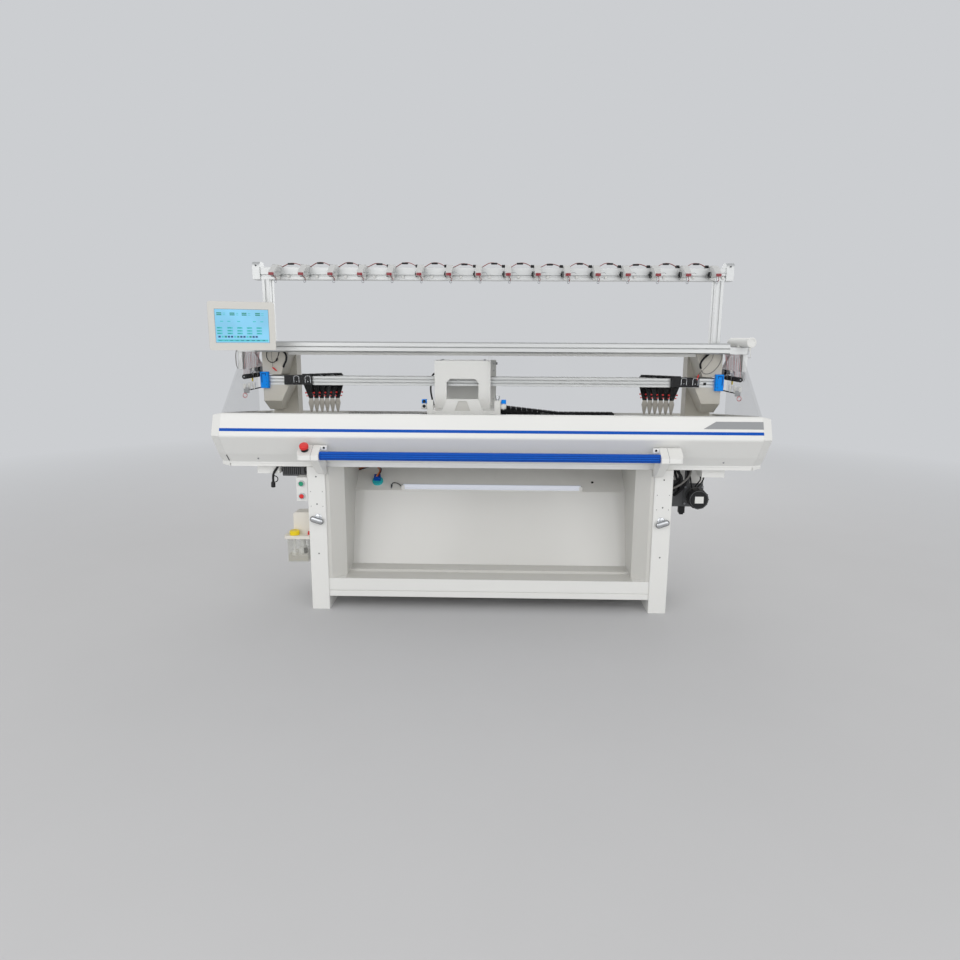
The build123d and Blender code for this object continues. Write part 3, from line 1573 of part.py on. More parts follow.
# Monitor on a swivel arm at the left end of the table beam
turn = radians(monitor_turn)
monitor_x = cos(turn) * monitor_width / 2 + sin(turn) * monitor_thickness / 2 - machine_half_length
monitor_face = Plane(
    origin=(monitor_x, monitor_y, monitor_z),
    x_dir=(cos(turn), sin(turn), 0),
    z_dir=(sin(turn), -cos(turn), 0),
)
pivot_back = monitor_thickness / 2 + boss_reach / 2
pivot_x = monitor_x - sin(turn) * pivot_back
pivot_y = monitor_y + cos(turn) * pivot_back
arm_top_z = arm_z + arm_height
boss_low_z = arm_top_z + clearance
with BuildPart() as monitor_housing:
    with BuildSketch(monitor_face.offset(-monitor_thickness / 2)) as housing_face:
        RectangleRounded(monitor_width, monitor_height, monitor_radius)
    extrude(housing_face.sketch, amount=monitor_thickness)
    with BuildSketch(monitor_face.offset(monitor_thickness / 2)) as screen_opening:
        Rectangle(screen_width, screen_height)
    extrude(screen_opening.sketch, amount=-screen_thickness, mode=Mode.SUBTRACT)
    with BuildSketch(monitor_face.offset(-monitor_thickness / 2)) as boss_face:
        with Locations((0, boss_low_z + boss_height / 2 - monitor_z)):
            Rectangle(boss_width, boss_height)
    extrude(boss_face.sketch, amount=-boss_reach)
    rod_z(
        pivot_x,
        pivot_y,
        (boss_low_z, boss_low_z + boss_height),
        pivot_radius + shaft_clearance,
        Mode.SUBTRACT,
    )
write(monitor_housing, "monitor_housing")

with BuildPart() as monitor_screen:
    with BuildSketch(monitor_face.offset(monitor_thickness / 2 - screen_thickness)) as screen_face:
        Rectangle(screen_width - clearance, screen_height - clearance)
    extrude(screen_face.sketch, amount=screen_thickness - clearance)
write(monitor_screen, "monitor_screen")

with BuildPart() as monitor_arm:
    block(
        (pivot_x - arm_width / 2, pivot_x + arm_width / 2),
        (pivot_y - arm_overhang, table_beam_front_y),
        (arm_z, arm_top_z),
    )
    rod_z(pivot_x, pivot_y, (arm_top_z, boss_low_z + boss_height), pivot_radius)
write(monitor_arm, "monitor_arm")

# Signal lamp lying on the right corner piece, its round end to the front
with BuildPart() as signal_lamp:
    lamp_axis = Plane(
        origin=(signal_x, signal_y, corner_top + signal_radius + clearance),
        x_dir=(0, 0, 1),
        z_dir=(sin(radians(signal_turn)), -cos(radians(signal_turn)), 0),
    )
    with BuildSketch(lamp_axis.offset(-signal_length / 2)) as lamp_end:
        Circle(signal_radius)
    extrude(lamp_end.sketch, amount=signal_length)
    block(
        (signal_x - signal_seat_length / 2, signal_x + signal_seat_length / 2),
        (signal_y - signal_seat_width / 2, signal_y + signal_seat_width / 2),
        (corner_top, corner_top + signal_seat_height),
    )
write(signal_lamp, "signal_lamp")
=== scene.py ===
"""Dresses a flat knitting machine: its finishes, fittings and wiring, and the light and camera round it."""

import json
import logging
import math
from collections.abc import Callable, Sequence
from dataclasses import dataclass
from enum import Enum

import bmesh
import bpy
from mathutils import Matrix, Vector


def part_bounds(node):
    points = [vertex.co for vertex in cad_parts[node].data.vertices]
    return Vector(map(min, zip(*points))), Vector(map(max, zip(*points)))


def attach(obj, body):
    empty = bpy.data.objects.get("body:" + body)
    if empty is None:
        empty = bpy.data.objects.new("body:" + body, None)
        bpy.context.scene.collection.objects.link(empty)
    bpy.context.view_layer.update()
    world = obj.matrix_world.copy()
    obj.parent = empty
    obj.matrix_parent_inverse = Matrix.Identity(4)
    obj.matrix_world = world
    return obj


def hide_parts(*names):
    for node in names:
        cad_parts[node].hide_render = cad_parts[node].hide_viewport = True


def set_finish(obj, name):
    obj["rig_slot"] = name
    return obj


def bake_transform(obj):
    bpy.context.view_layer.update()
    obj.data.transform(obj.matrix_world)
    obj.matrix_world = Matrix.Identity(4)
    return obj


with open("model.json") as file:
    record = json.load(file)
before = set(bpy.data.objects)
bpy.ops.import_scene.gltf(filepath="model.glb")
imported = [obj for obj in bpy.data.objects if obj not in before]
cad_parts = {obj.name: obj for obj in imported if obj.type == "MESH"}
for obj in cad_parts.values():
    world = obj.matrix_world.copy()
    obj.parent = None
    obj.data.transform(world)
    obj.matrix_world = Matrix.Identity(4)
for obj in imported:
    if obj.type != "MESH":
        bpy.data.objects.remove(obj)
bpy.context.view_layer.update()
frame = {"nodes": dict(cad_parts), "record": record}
LOG = logging.getLogger("knitting_machine")

Point = tuple[float, float, float]
Flat = tuple[float, float]
Shade = tuple[int, int, int]
SIDES = ((-1, "left"), (1, "right"))
RELIEF_DEPTH = 0.0006
COAT_ROUGHNESS = 0.12
UNLIT_SHADE: Shade = (24, 26, 28)
DUST_SHADE: Shade = (206, 203, 196)
CREASE = math.radians(32)


def linear(shade: Shade) -> tuple[float, float, float, float]:
    """Turns a display colour into the renderer's linear colour.

    Args:
        shade: Red, green and blue from 0 to 255.

    Returns:
        Linear red, green, blue and an alpha of one.
    """
    parts = [value / 255 for value in shade]
    curve = [part / 12.92 if part <= 0.04045 else ((part + 0.055) / 1.055) ** 2.4 for part in parts]
    return (*curve, 1.0)


class Tree:
    """Adds nodes to one shader tree and joins them."""

    def __init__(self, tree: bpy.types.NodeTree) -> None:
        """Takes the tree to work in."""
        self.tree = tree

    def add(self, kind: str, settings: dict | None = None, **inputs: object) -> bpy.types.Node:
        """Adds a node.

        Args:
            kind: Node type without its "ShaderNode" prefix.
            settings: Attributes of the node itself.
            inputs: Values or sockets for its inputs, by name with underscores for spaces.

        Returns:
            The new node.
        """
        node = self.tree.nodes.new("ShaderNode" + kind)
        for name, value in (settings or {}).items():
            setattr(node, name, value)
        for name, value in inputs.items():
            self.feed(node.inputs[name.replace("_", " ")], value)
        return node

    def feed(self, socket: bpy.types.NodeSocket, value: object) -> None:
        """Joins an input to another socket, or sets its value."""
        if isinstance(value, bpy.types.NodeSocket):
            self.tree.links.new(value, socket)
        else:
            socket.default_value = value

    def math(self, operation: str, first: object, second: object = 0.0) -> bpy.types.NodeSocket:
        """Adds a sum of two values.

        Args:
            operation: Name of the sum, such as MULTIPLY.
            first: Value or socket.
            second: Value or socket.

        Returns:
            The result's socket.
        """
        return self.joined("Math", {"operation": operation}, first, second)

    def joined(self, kind: str, settings: dict | None, *values: object) -> bpy.types.NodeSocket:
        """Adds a node whose inputs are given in their own order.

        Args:
            kind: Node type without its "ShaderNode" prefix.
            settings: Attributes of the node itself.
            values: Values or sockets for its first inputs.

        Returns:
            The first output's socket.
        """
        node = self.add(kind, settings)
        for socket, value in zip(node.inputs, values):
            self.feed(socket, value)
        return node.outputs[0]

    def blend(self, share: object, first: object, second: object) -> bpy.types.NodeSocket:
        """Mixes two colours.

        Args:
            share: Share of the second colour, a value or socket.
            first: Colour or socket.
            second: Colour or socket.

        Returns:
            The mixed colour's socket.
        """
        node = self.add("Mix", {"data_type": "RGBA"})
        for index, value in ((0, share), (6, first), (7, second)):
            self.feed(node.inputs[index], value)
        return node.outputs[2]

    def ramp(
        self, value: object, low: float, high: float, start: object, end: object
    ) -> bpy.types.NodeSocket:
        """Maps a value from one range to another, held at both ends.

        Args:
            value: Value or socket to map.
            low: Where the first range starts.
            high: Where the first range ends.
            start: Result at low.
            end: Result at high.

        Returns:
            The mapped value's socket.
        """
        node = self.add("MapRange", None, Value=value, From_Min=low, From_Max=high, To_Min=start, To_Max=end)
        return node.outputs["Result"]


class Effect(Enum):
    """Surface effects that several finishes share, each a shader node group."""

    TONE = "patchy_tone"
    EDGE = "worn_edge"
    DUST = "settled_dust"
    GRAIN = "fine_grain"
    DRAWN = "drawn_lines"

    def tree(self) -> bpy.types.NodeTree:
        """Gives the effect's node group, built at its first use."""
        found = bpy.data.node_groups.get(self.value)
        if found:
            return found
        group = bpy.data.node_groups.new(self.value, "ShaderNodeTree")
        builders = {
            Effect.TONE: build_tone,
            Effect.EDGE: build_edge,
            Effect.DUST: build_dust,
            Effect.GRAIN: build_grain,
            Effect.DRAWN: build_drawn,
        }
        builders[self](group)
        return group

    def use(self, tree: Tree, **inputs: object) -> bpy.types.Node:
        """Adds the effect to a material's tree, with values or sockets for its inputs."""
        return tree.add("Group", {"node_tree": self.tree()}, **inputs)


def sockets(group: bpy.types.NodeTree, inputs: dict[str, str], outputs: dict[str, str]) -> tuple:
    """Gives a node group its named inputs and outputs.

    Args:
        group: The node group.
        inputs: Socket kinds by name.
        outputs: Socket kinds by name.

    Returns:
        A Tree of the group, its inputs and the sockets of its outputs.
    """
    for way, names in (("INPUT", inputs), ("OUTPUT", outputs)):
        for name, kind in names.items():
            group.interface.new_socket(name=name, in_out=way, socket_type="NodeSocket" + kind)
    ends = group.nodes.new("NodeGroupInput"), group.nodes.new("NodeGroupOutput")
    return Tree(group), ends[0].outputs, ends[1].inputs


def build_tone(group: bpy.types.NodeTree) -> None:
    """Soft light and dark patches over a colour."""
    inputs = {"Colour": "Color", "Amount": "Float", "Scale": "Float"}
    tree, given, made = sockets(group, inputs, {"Colour": "Color"})
    place = tree.add("TexCoord").outputs["Object"]
    noise = tree.add("TexNoise", None, Vector=place, Scale=given["Scale"], Detail=3.0)
    swing = tree.math("SUBTRACT", noise.outputs["Fac"], 0.5)
    gain = tree.math("ADD", tree.math("MULTIPLY", swing, given["Amount"]), 1.0)
    scaled = tree.add("VectorMath", {"operation": "SCALE"}, Vector=given["Colour"], Scale=gain)
    tree.feed(made["Colour"], scaled.outputs[0])


def build_edge(group: bpy.types.NodeTree) -> None:
    """Rounded, slightly rubbed edges."""
    inputs = {"Colour": "Color", "Worn": "Color", "Radius": "Float", "Amount": "Float"}
    tree, given, made = sockets(group, inputs, {"Colour": "Color", "Normal": "Vector"})
    bevel = tree.add("Bevel", {"samples": 4}, Radius=given["Radius"])
    flat = tree.add("NewGeometry").outputs["Normal"]
    dot = tree.add("VectorMath", {"operation": "DOT_PRODUCT"})
    tree.feed(dot.inputs[0], bevel.outputs[0])
    tree.feed(dot.inputs[1], flat)
    mask = tree.ramp(dot.outputs["Value"], 0.99, 0.8, 0.0, given["Amount"])
    place = tree.add("TexCoord").outputs["Object"]
    broken = tree.add("TexNoise", None, Vector=place, Scale=60.0, Detail=4.0)
    patchy = tree.math("MULTIPLY", mask, tree.ramp(broken.outputs["Fac"], 0.35, 0.6, 0.0, 1.0))
    tree.feed(made["Colour"], tree.blend(patchy, given["Colour"], given["Worn"]))
    tree.feed(made["Normal"], bevel.outputs[0])


def build_dust(group: bpy.types.NodeTree) -> None:
    """Pale lint and dust on faces that look upwards."""
    inputs = {"Colour": "Color", "Dust": "Color", "Amount": "Float"}
    tree, given, made = sockets(group, inputs, {"Colour": "Color", "Mask": "Float"})
    upward = tree.add("SeparateXYZ", None, Vector=tree.add("NewGeometry").outputs["Normal"]).outputs["Z"]
    place = tree.add("TexCoord").outputs["Object"]
    noise = tree.add("TexNoise", None, Vector=place, Scale=14.0, Detail=6.0, Roughness=0.7)
    lies = tree.math("MULTIPLY", tree.ramp(upward, 0.5, 0.95, 0.0, 1.0), given["Amount"])
    mask = tree.math("MULTIPLY", lies, tree.ramp(noise.outputs["Fac"], 0.3, 0.7, 0.2, 1.0))
    tree.feed(made["Colour"], tree.blend(mask, given["Colour"], given["Dust"]))
    tree.feed(made["Mask"], mask)


def build_grain(group: bpy.types.NodeTree) -> None:
    """Fine grain of paint or moulded plastic, with a little spread in its gloss."""
    inputs = {"Scale": "Float", "Roughness": "Float", "Spread": "Float"}
    tree, given, made = sockets(group, inputs, {"Height": "Float", "Roughness": "Float"})
    place = tree.add("TexCoord").outputs["Object"]
    fine = tree.add("TexNoise", None, Vector=place, Scale=given["Scale"], Detail=2.0)
    wide = tree.add("TexNoise", None, Vector=place, Scale=9.0, Detail=5.0)
    swing = tree.math("MULTIPLY", tree.math("SUBTRACT", wide.outputs["Fac"], 0.5), given["Spread"])
    tree.feed(made["Height"], fine.outputs["Fac"])
    tree.feed(made["Roughness"], tree.math("ADD", given["Roughness"], swing))


def build_drawn(group: bpy.types.NodeTree) -> None:
    """Lines along X that drawing or grinding leaves in metal."""
    inputs = {"Scale": "Float", "Roughness": "Float", "Spread": "Float"}
    tree, given, made = sockets(group, inputs, {"Height": "Float", "Roughness": "Float"})
    place = tree.add("TexCoord").outputs["Object"]
    stretched = tree.joined("VectorMath", {"operation": "MULTIPLY"}, place, (0.02, 1.0, 1.0))
    noise = tree.add("TexNoise", None, Vector=stretched, Scale=given["Scale"], Detail=3.0)
    swing = tree.math("MULTIPLY", tree.math("SUBTRACT", noise.outputs["Fac"], 0.5), given["Spread"])
    tree.feed(made["Height"], noise.outputs["Fac"])
    tree.feed(made["Roughness"], tree.math("ADD", given["Roughness"], swing))


class Kind(Enum):
    """What a surface is made of."""

    PAINT = "paint"
    METAL = "metal"
    MOULDED = "moulded"
    CLEAR = "clear"
    LIT = "lit"


@dataclass(frozen=True)
class Finish:
    """A finish: its name, the record's slot, what it is made of, and its colour and surface."""

    name: str
    slot: str
    kind: Kind
    shade: Shade
    roughness: float = 0.42
    spread: float = 0.1
    grain: float = 1400.0
    relief: float = 0.04
    tone: float = 0.06
    tone_scale: float = 2.2
    dust: float = 0.0
    wear: float = 0.0
    worn: Shade = (150, 150, 148)
    edge: float = 0.0016
    coat: float = 0.0
    body: float = 0.1
    glow: float = 0.0
    bright: float = 0.5
    gloss: float = 0.5

    def material(self) -> bpy.types.Material:
        """Gives the finish's material, built at its first use."""
        known = f"finish_{self.name}"
        found = bpy.data.materials.get(known)
        if found:
            return found
        material = bpy.data.materials.new(known)
        material.use_nodes = True
        tree = Tree(material.node_tree)
        shader = material.node_tree.nodes["Principled BSDF"]
        colour = self.coloured(tree)
        surface = self.surface(tree).outputs
        bump = tree.add("Bump", None, Strength=self.relief, Distance=RELIEF_DEPTH, Height=surface["Height"])
        tree.feed(bump.inputs["Normal"], colour["normal"])
        fed = {
            "Base Color": linear(UNLIT_SHADE) if self.glow > self.bright else colour["colour"],
            "Roughness": surface["Roughness"],
            "Normal": bump.outputs[0],
            "Metallic": 1.0 if self.kind is Kind.METAL else 0.0,
            "Coat Weight": self.coat,
            "Coat Roughness": COAT_ROUGHNESS,
            "Specular IOR Level": self.gloss,
        }
        if self.kind is Kind.LIT:
            fed |= {"Emission Color": colour["colour"], "Emission Strength": self.glow}
        for name, value in fed.items():
            tree.feed(shader.inputs[name], value)
        if self.kind is Kind.CLEAR:
            self.clear(tree, shader)
        return material

    def coloured(self, tree: Tree) -> dict[str, bpy.types.NodeSocket]:
        """Lays tone, edge wear and dust over the plain colour.

        Args:
            tree: The material's tree.

        Returns:
            The sockets of the colour and of the edge-rounded normal.
        """
        tone = Effect.TONE.use(tree, Colour=linear(self.shade), Amount=self.tone, Scale=self.tone_scale)
        worn = {"Worn": linear(self.worn), "Radius": self.edge, "Amount": self.wear}
        edge = Effect.EDGE.use(tree, Colour=tone.outputs["Colour"], **worn)
        dusty = {"Dust": linear(DUST_SHADE), "Amount": self.dust}
        dust = Effect.DUST.use(tree, Colour=edge.outputs["Colour"], **dusty)
        return {"colour": dust.outputs["Colour"], "normal": edge.outputs["Normal"]}

    def surface(self, tree: Tree) -> bpy.types.Node:
        """Adds the fine relief: drawn lines on metal, grain on anything else."""
        effect = Effect.DRAWN if self.kind is Kind.METAL else Effect.GRAIN
        return effect.use(tree, Scale=self.grain, Roughness=self.roughness, Spread=self.spread)

    def clear(self, tree: Tree, shader: bpy.types.Node) -> None:
        """Lets light through, more of it where the sheet is seen straight on, less where it is smudged."""
        facing = tree.add("LayerWeight", None, Blend=0.5).outputs["Facing"]
        rim = tree.math("POWER", facing, 5.0)
        smudge = tree.add(
            "TexNoise", None, Vector=tree.add("TexCoord").outputs["Object"], Scale=3.0, Detail=6.0
        )
        film = tree.math("MULTIPLY", smudge.outputs["Fac"], self.body)
        tree.feed(shader.inputs["Alpha"], tree.math("ADD", tree.math("MULTIPLY", rim, 0.6), film))


def paint(name: str, slot: str, shade: Shade, **changes: object) -> Finish:
    """Gives an enamel finish: glossy, a little dusty on top, rubbed at the edges."""
    settings = {"roughness": 0.38, "dust": 0.25, "wear": 0.12, "coat": 0.15} | changes
    return Finish(name, slot, Kind.PAINT, shade, **settings)


def metal(name: str, slot: str, shade: Shade, **changes: object) -> Finish:
    """Gives a bare metal finish with drawn lines."""
    settings = {"roughness": 0.3, "grain": 520.0, "relief": 0.06, "spread": 0.16, "tone": 0.08} | changes
    return Finish(name, slot, Kind.METAL, shade, **settings)


def moulded(name: str, slot: str, shade: Shade, **changes: object) -> Finish:
    """Gives a moulded plastic finish with a fine grain."""
    settings = {"roughness": 0.46, "grain": 2200.0, "relief": 0.1, "dust": 0.1, "edge": 0.0008} | changes
    return Finish(name, slot, Kind.MOULDED, shade, **settings)


WHITE = paint("white_enamel", "white_enamel", (232, 232, 229))
GREY = paint("grey_enamel", "grey_enamel", (208, 207, 202), dust=0.3)
PANEL = paint("panel_enamel", "grey_enamel", (214, 213, 209), roughness=0.16, coat=0.3)
# A lighter copy of the grey enamel: painted light that makes up for the shade on the bin's upper panel and
# the drive covers.
LIGHTENED_GREY = paint("grey_enamel_lightened", "grey_enamel", (238, 237, 233), roughness=0.16, coat=0.3)
BEIGE = paint("beige_casting", "beige_casting", (199, 195, 185), roughness=0.55, grain=900.0, relief=0.12)
BLUE = paint("blue_enamel", "blue_enamel", (4, 82, 182), roughness=0.45, dust=0.02, coat=0.0, gloss=0.18)
# A lighter blue for the thin strips on the stop bar: painted highlight lines along the bar.
BLUE_HIGHLIGHT = paint("blue_painted_highlight", "blue_enamel", (24, 108, 212), roughness=0.45, dust=0.0, coat=0.0, gloss=0.2)
AZURE = moulded("azure_moulding", "blue_enamel", (0, 142, 246), dust=0.0, gloss=0.15)
# A darker blue that paints the shade in the stops' slots and holes.
SLOT_SHADE_BLUE = moulded("stop_slot_shade", "blue_enamel", (2, 54, 128), dust=0.0, gloss=0.2)
STEEL = metal("machined_steel", "machined_steel", (164, 166, 170))
CHROME = metal("chrome", "machined_steel", (206, 208, 210), roughness=0.24, relief=0.01, spread=0.06)
LEAF = metal("nozzle_steel", "machined_steel", (168, 164, 156), roughness=0.42)
RAIL = metal("anodised", "anodised", (212, 213, 212), roughness=0.5)
DARK = paint("dark_casting", "dark_casting", (84, 85, 87), roughness=0.55, relief=0.12)
BLACK = moulded("black_plastic", "black_plastic", (27, 27, 29), gloss=0.3)
CHAIN = moulded("chain_plastic", "black_plastic", (34, 34, 36), roughness=0.5, dust=0.05, gloss=0.25)
MID = moulded("grey_plastic", "grey_plastic", (150, 152, 154))
OILER = moulded("oiler_housing", "grey_plastic", (224, 220, 211))
UNIT = moulded("unit_housing", "grey_plastic", (206, 207, 206))
PALE = moulded("white_plastic", "white_plastic", (226, 226, 223))
BEZEL = moulded("monitor_bezel", "white_plastic", (214, 212, 206))
THREAD = moulded("pink_thread", "red_plastic", (204, 140, 142), roughness=0.8)
RED = moulded("red_plastic", "red_plastic", (222, 44, 42), roughness=0.3, relief=0.03)
LENS = moulded("red_lens", "red_plastic", (136, 14, 32), roughness=0.2, relief=0.01, coat=0.2)
GREEN = moulded("green_plastic", "green_plastic", (24, 150, 112), roughness=0.28, relief=0.03)
YELLOW = moulded("yellow_plastic", "yellow_plastic", (236, 208, 20), roughness=0.4)
CYAN = moulded("socket_plastic", "blue_enamel", (30, 190, 196), roughness=0.4)
RUBBER = moulded("rubber", "rubber", (44, 44, 46), roughness=0.75, grain=700.0, relief=0.25)
CLEAR = Finish("clear_guard", "clear_guard", Kind.CLEAR, (36, 42, 44), 0.07, 0.04, body=0.02, relief=0.0)
TANK = Finish("oil_tank", "oil_tank", Kind.CLEAR, (206, 206, 198), 0.12, 0.05, body=0.3, relief=0.02)
TUBE = Finish("lamp_tube", "lamp_tube", Kind.LIT, (206, 210, 220), 0.4, 0.05, glow=0.3)
SCREEN = Finish(
    "screen", "screen", Kind.LIT, (132, 208, 244), 0.18, 0.04, tone=0.5, tone_scale=7.0, glow=0.92
)
SCREEN_TEAL = Finish("screen_teal", "screen", Kind.LIT, (70, 196, 204), 0.2, 0.04, glow=0.9)
SCREEN_GREEN = Finish("screen_green", "screen", Kind.LIT, (20, 142, 122), 0.2, 0.04, glow=0.9)
SCREEN_NAVY = Finish("screen_navy", "screen", Kind.LIT, (22, 74, 128), 0.2, 0.04, glow=0.9)
OIL = Finish("oil", "oil_tank", Kind.CLEAR, (206, 196, 150), 0.1, 0.03, body=0.3, relief=0.0)
CLEAR_TUBE = Finish(
    "clear_tube", "clear_guard", Kind.CLEAR, (214, 218, 220), 0.12, 0.05, body=0.34, relief=0.0
)
WIRE_RED = moulded("red_wire", "red_plastic", (150, 52, 44), roughness=0.5)
WIRE_GREY = moulded("grey_wire", "grey_plastic", (128, 126, 122), roughness=0.5)
WIRE_ORANGE = moulded("orange_wire", "yellow_plastic", (226, 132, 34), roughness=0.5)

SLOT_FINISHES = {
    finish.slot: finish
    for finish in (
        WHITE, GREY, BEIGE, BLUE, STEEL, RAIL, CLEAR, DARK, BLACK, MID, PALE, RED, GREEN, YELLOW, TANK,
        SCREEN, TUBE, RUBBER,
    )
}


class Axis(Enum):
    """The axis that a profile is drawn along."""

    X = 0
    Y = 1
    Z = 2

    def point(self, flat: Flat, along: float) -> Vector:
        """Places a profile's point at a distance along the axis."""
        values = list(flat)
        values.insert(self.value, along)
        return Vector(values)


class Shape:
    """A mesh that grows feature by feature, in metres, in a place of its own."""

    def __init__(self, place: Matrix | None = None) -> None:
        """Starts empty, in the row frame or at a given place."""
        self.mesh = bmesh.new()
        self.place = place or Matrix.Identity(4)

    def box(self, low: Point, high: Point, bevel: float = 0.0006) -> "Shape":
        """Adds a block with rounded edges.

        Args:
            low: Lowest corner.
            high: Highest corner.
            bevel: Radius of its edges.

        Returns:
            The shape itself.
        """
        lowest, highest = Vector(low), Vector(high)
        size = Matrix.Diagonal((*(highest - lowest), 1.0))
        made = bmesh.ops.create_cube(
            self.mesh, size=1.0, matrix=Matrix.Translation((lowest + highest) / 2) @ size
        )
        self.round_off(made["verts"], bevel)
        return self

    def round_off(self, verts: Sequence[bmesh.types.BMVert], bevel: float) -> None:
        """Rounds every edge between the given points."""
        if bevel > 0:
            edges = list(dict.fromkeys(edge for vert in verts for edge in vert.link_edges))
            bmesh.ops.bevel(self.mesh, geom=edges, offset=bevel, segments=2, profile=0.6, affect="EDGES")

    def prism(
        self, outline: Sequence[Flat], axis: Axis, low: float, high: float, bevel: float = 0.0
    ) -> "Shape":
        """Adds a profile drawn out along an axis.

        Args:
            outline: Points of the profile, in the two other axes' order.
            axis: The axis to draw it along.
            low: Where it starts.
            high: Where it ends.
            bevel: Radius of its edges.

        Returns:
            The shape itself.
        """
        rings = [[self.mesh.verts.new(axis.point(flat, along)) for flat in outline] for along in (low, high)]
        self.skin(rings)
        self.round_off(rings[0] + rings[1], bevel)
        return self

    def skin(self, rings: Sequence[Sequence[bmesh.types.BMVert]], closed: bool = False) -> None:
        """Joins rings of points with faces and caps both ends, or closes them to a loop."""
        pairs = list(zip(rings, rings[1:])) + ([(rings[-1], rings[0])] if closed else [])
        for near, far in pairs:
            count = max(len(near), len(far))
            for index in range(count):
                after = (index + 1) % count
                corners = [
                    near[index % len(near)], near[after % len(near)],
                    far[after % len(far)], far[index % len(far)],
                ]
                self.mesh.faces.new(list(dict.fromkeys(corners)))
        if not closed:
            for ring in (rings[0], rings[-1]):
                if len(ring) > 2:
                    self.mesh.faces.new(ring)

    def lathe(self, origin: Point, axis: Point, profile: Sequence[Flat], sides: int = 20) -> "Shape":
        """Adds a turned form.

        Args:
            origin: Where the axis starts.
            axis: Direction of the axis.
            profile: Pairs of distance along the axis and radius.
            sides: Number of facets.

        Returns:
            The shape itself.
        """
        turn = Vector((0, 0, 1)).rotation_difference(Vector(axis)).to_matrix().to_4x4()
        place = Matrix.Translation(origin) @ turn
        rings = []
        for along, radius in profile:
            count = sides if radius > 0 else 1
            angles = [2 * math.pi * step / sides for step in range(count)]
            ring = [(radius * math.cos(angle), radius * math.sin(angle), along) for angle in angles]
            rings.append([self.mesh.verts.new(place @ Vector(point)) for point in ring])
        self.skin(rings)
        return self

    def tube(self, path: Sequence[Vector], radius: float, sides: int = 8, closed: bool = False) -> "Shape":
        """Adds a round wire along a path.

        Args:
            path: Points that it follows.
            radius: Its radius.
            sides: Number of facets.
            closed: Whether its end joins its start.

        Returns:
            The shape itself.
        """
        points = [Vector(point) for point in path]
        rings = []
        across = None
        for index, point in enumerate(points):
            before = points[index - 1] if index or closed else point
            after = points[(index + 1) % len(points)] if index + 1 < len(points) or closed else point
            ahead = (after - before).normalized()
            if across is None:
                across = ahead.orthogonal().normalized()
            across = (across - ahead * across.dot(ahead)).normalized()
            other = ahead.cross(across)
            angles = [2 * math.pi * step / sides for step in range(sides)]
            ring = [point + radius * (across * math.cos(angle) + other * math.sin(angle)) for angle in angles]
            rings.append([self.mesh.verts.new(spot) for spot in ring])
        self.skin(rings, closed)
        return self

    def screw(self, origin: Point, axis: Point, radius: float) -> "Shape":
        """Adds a domed screw head with a socket in it."""
        profile = [(0.0, radius), (0.35, 1.0), (0.6, 0.86), (0.68, 0.55), (0.2, 0.46), (0.2, 0.0)]
        turned = [profile[0]] + [(along * radius, share * radius) for along, share in profile[1:]]
        return self.lathe(origin, axis, turned, 12)

    def piece(self, name: str, body: str, finish: Finish) -> bpy.types.Object:
        """Ends the mesh as a piece that rides on a body.

        Args:
            name: The piece's name.
            body: The body that carries it.
            finish: Its finish.

        Returns:
            The new object.
        """
        made = self.loose(name, finish)
        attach(made, body)
        return made

    def loose(self, name: str, finish: Finish) -> bpy.types.Object:
        """Ends the mesh as an object with a finish, on no body yet."""
        bmesh.ops.transform(self.mesh, matrix=self.place, verts=self.mesh.verts)
        bmesh.ops.recalc_face_normals(self.mesh, faces=self.mesh.faces)
        data = bpy.data.meshes.new(name)
        self.mesh.to_mesh(data)
        self.mesh.free()
        data.polygons.foreach_set("use_smooth", [True] * len(data.polygons))
        data.set_sharp_from_angle(angle=CREASE)
        data.materials.append(finish.material())
        made = bpy.data.objects.new(name, data)
        bpy.context.scene.collection.objects.link(made)
        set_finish(made, finish.slot)
        LOG.info("piece %s, %d faces", name, len(data.polygons))
        return made


def ring_path(centre: Point, radius: float, first: Vector, second: Vector, steps: int = 20) -> list[Vector]:
    """Gives points round a circle.

    Args:
        centre: Middle of the circle.
        radius: Its radius.
        first: Unit vector in its plane.
        second: Unit vector in its plane, square to the first.
        steps: Number of points.

    Returns:
        The points, once round.
    """
    angles = [2 * math.pi * step / steps for step in range(steps)]
    return [
        Vector(centre) + radius * (first * math.cos(angle) + second * math.sin(angle)) for angle in angles
    ]


def coil_path(start: Point, end: Point, radius: float, turns: float, steps: int = 12) -> list[Vector]:
    """Gives points along a spring.

    Args:
        start: Middle of its first turn.
        end: Middle of its last turn.
        radius: Radius of its turns.
        turns: Number of turns.
        steps: Points in a turn.

    Returns:
        The points from start to end.
    """
    ahead = Vector(end) - Vector(start)
    across = ahead.orthogonal().normalized()
    other = ahead.normalized().cross(across)
    count = int(turns * steps)
    points = []
    for step in range(count + 1):
        angle = 2 * math.pi * step / steps
        middle = Vector(start) + ahead * (step / count)
        points.append(middle + radius * (across * math.cos(angle) + other * math.sin(angle)))
    return points


def facing_front(middle: Point, turn: float) -> Matrix:
    """Gives a place that is turned about Z, with its X across, its Y up and its Z to the front.

    Args:
        middle: Where it is.
        turn: How far it is turned.

    Returns:
        The place.
    """
    turned = Matrix.Translation(middle) @ Matrix.Rotation(turn, 4, "Z")
    return turned @ Matrix.Rotation(math.pi / 2, 4, "X")


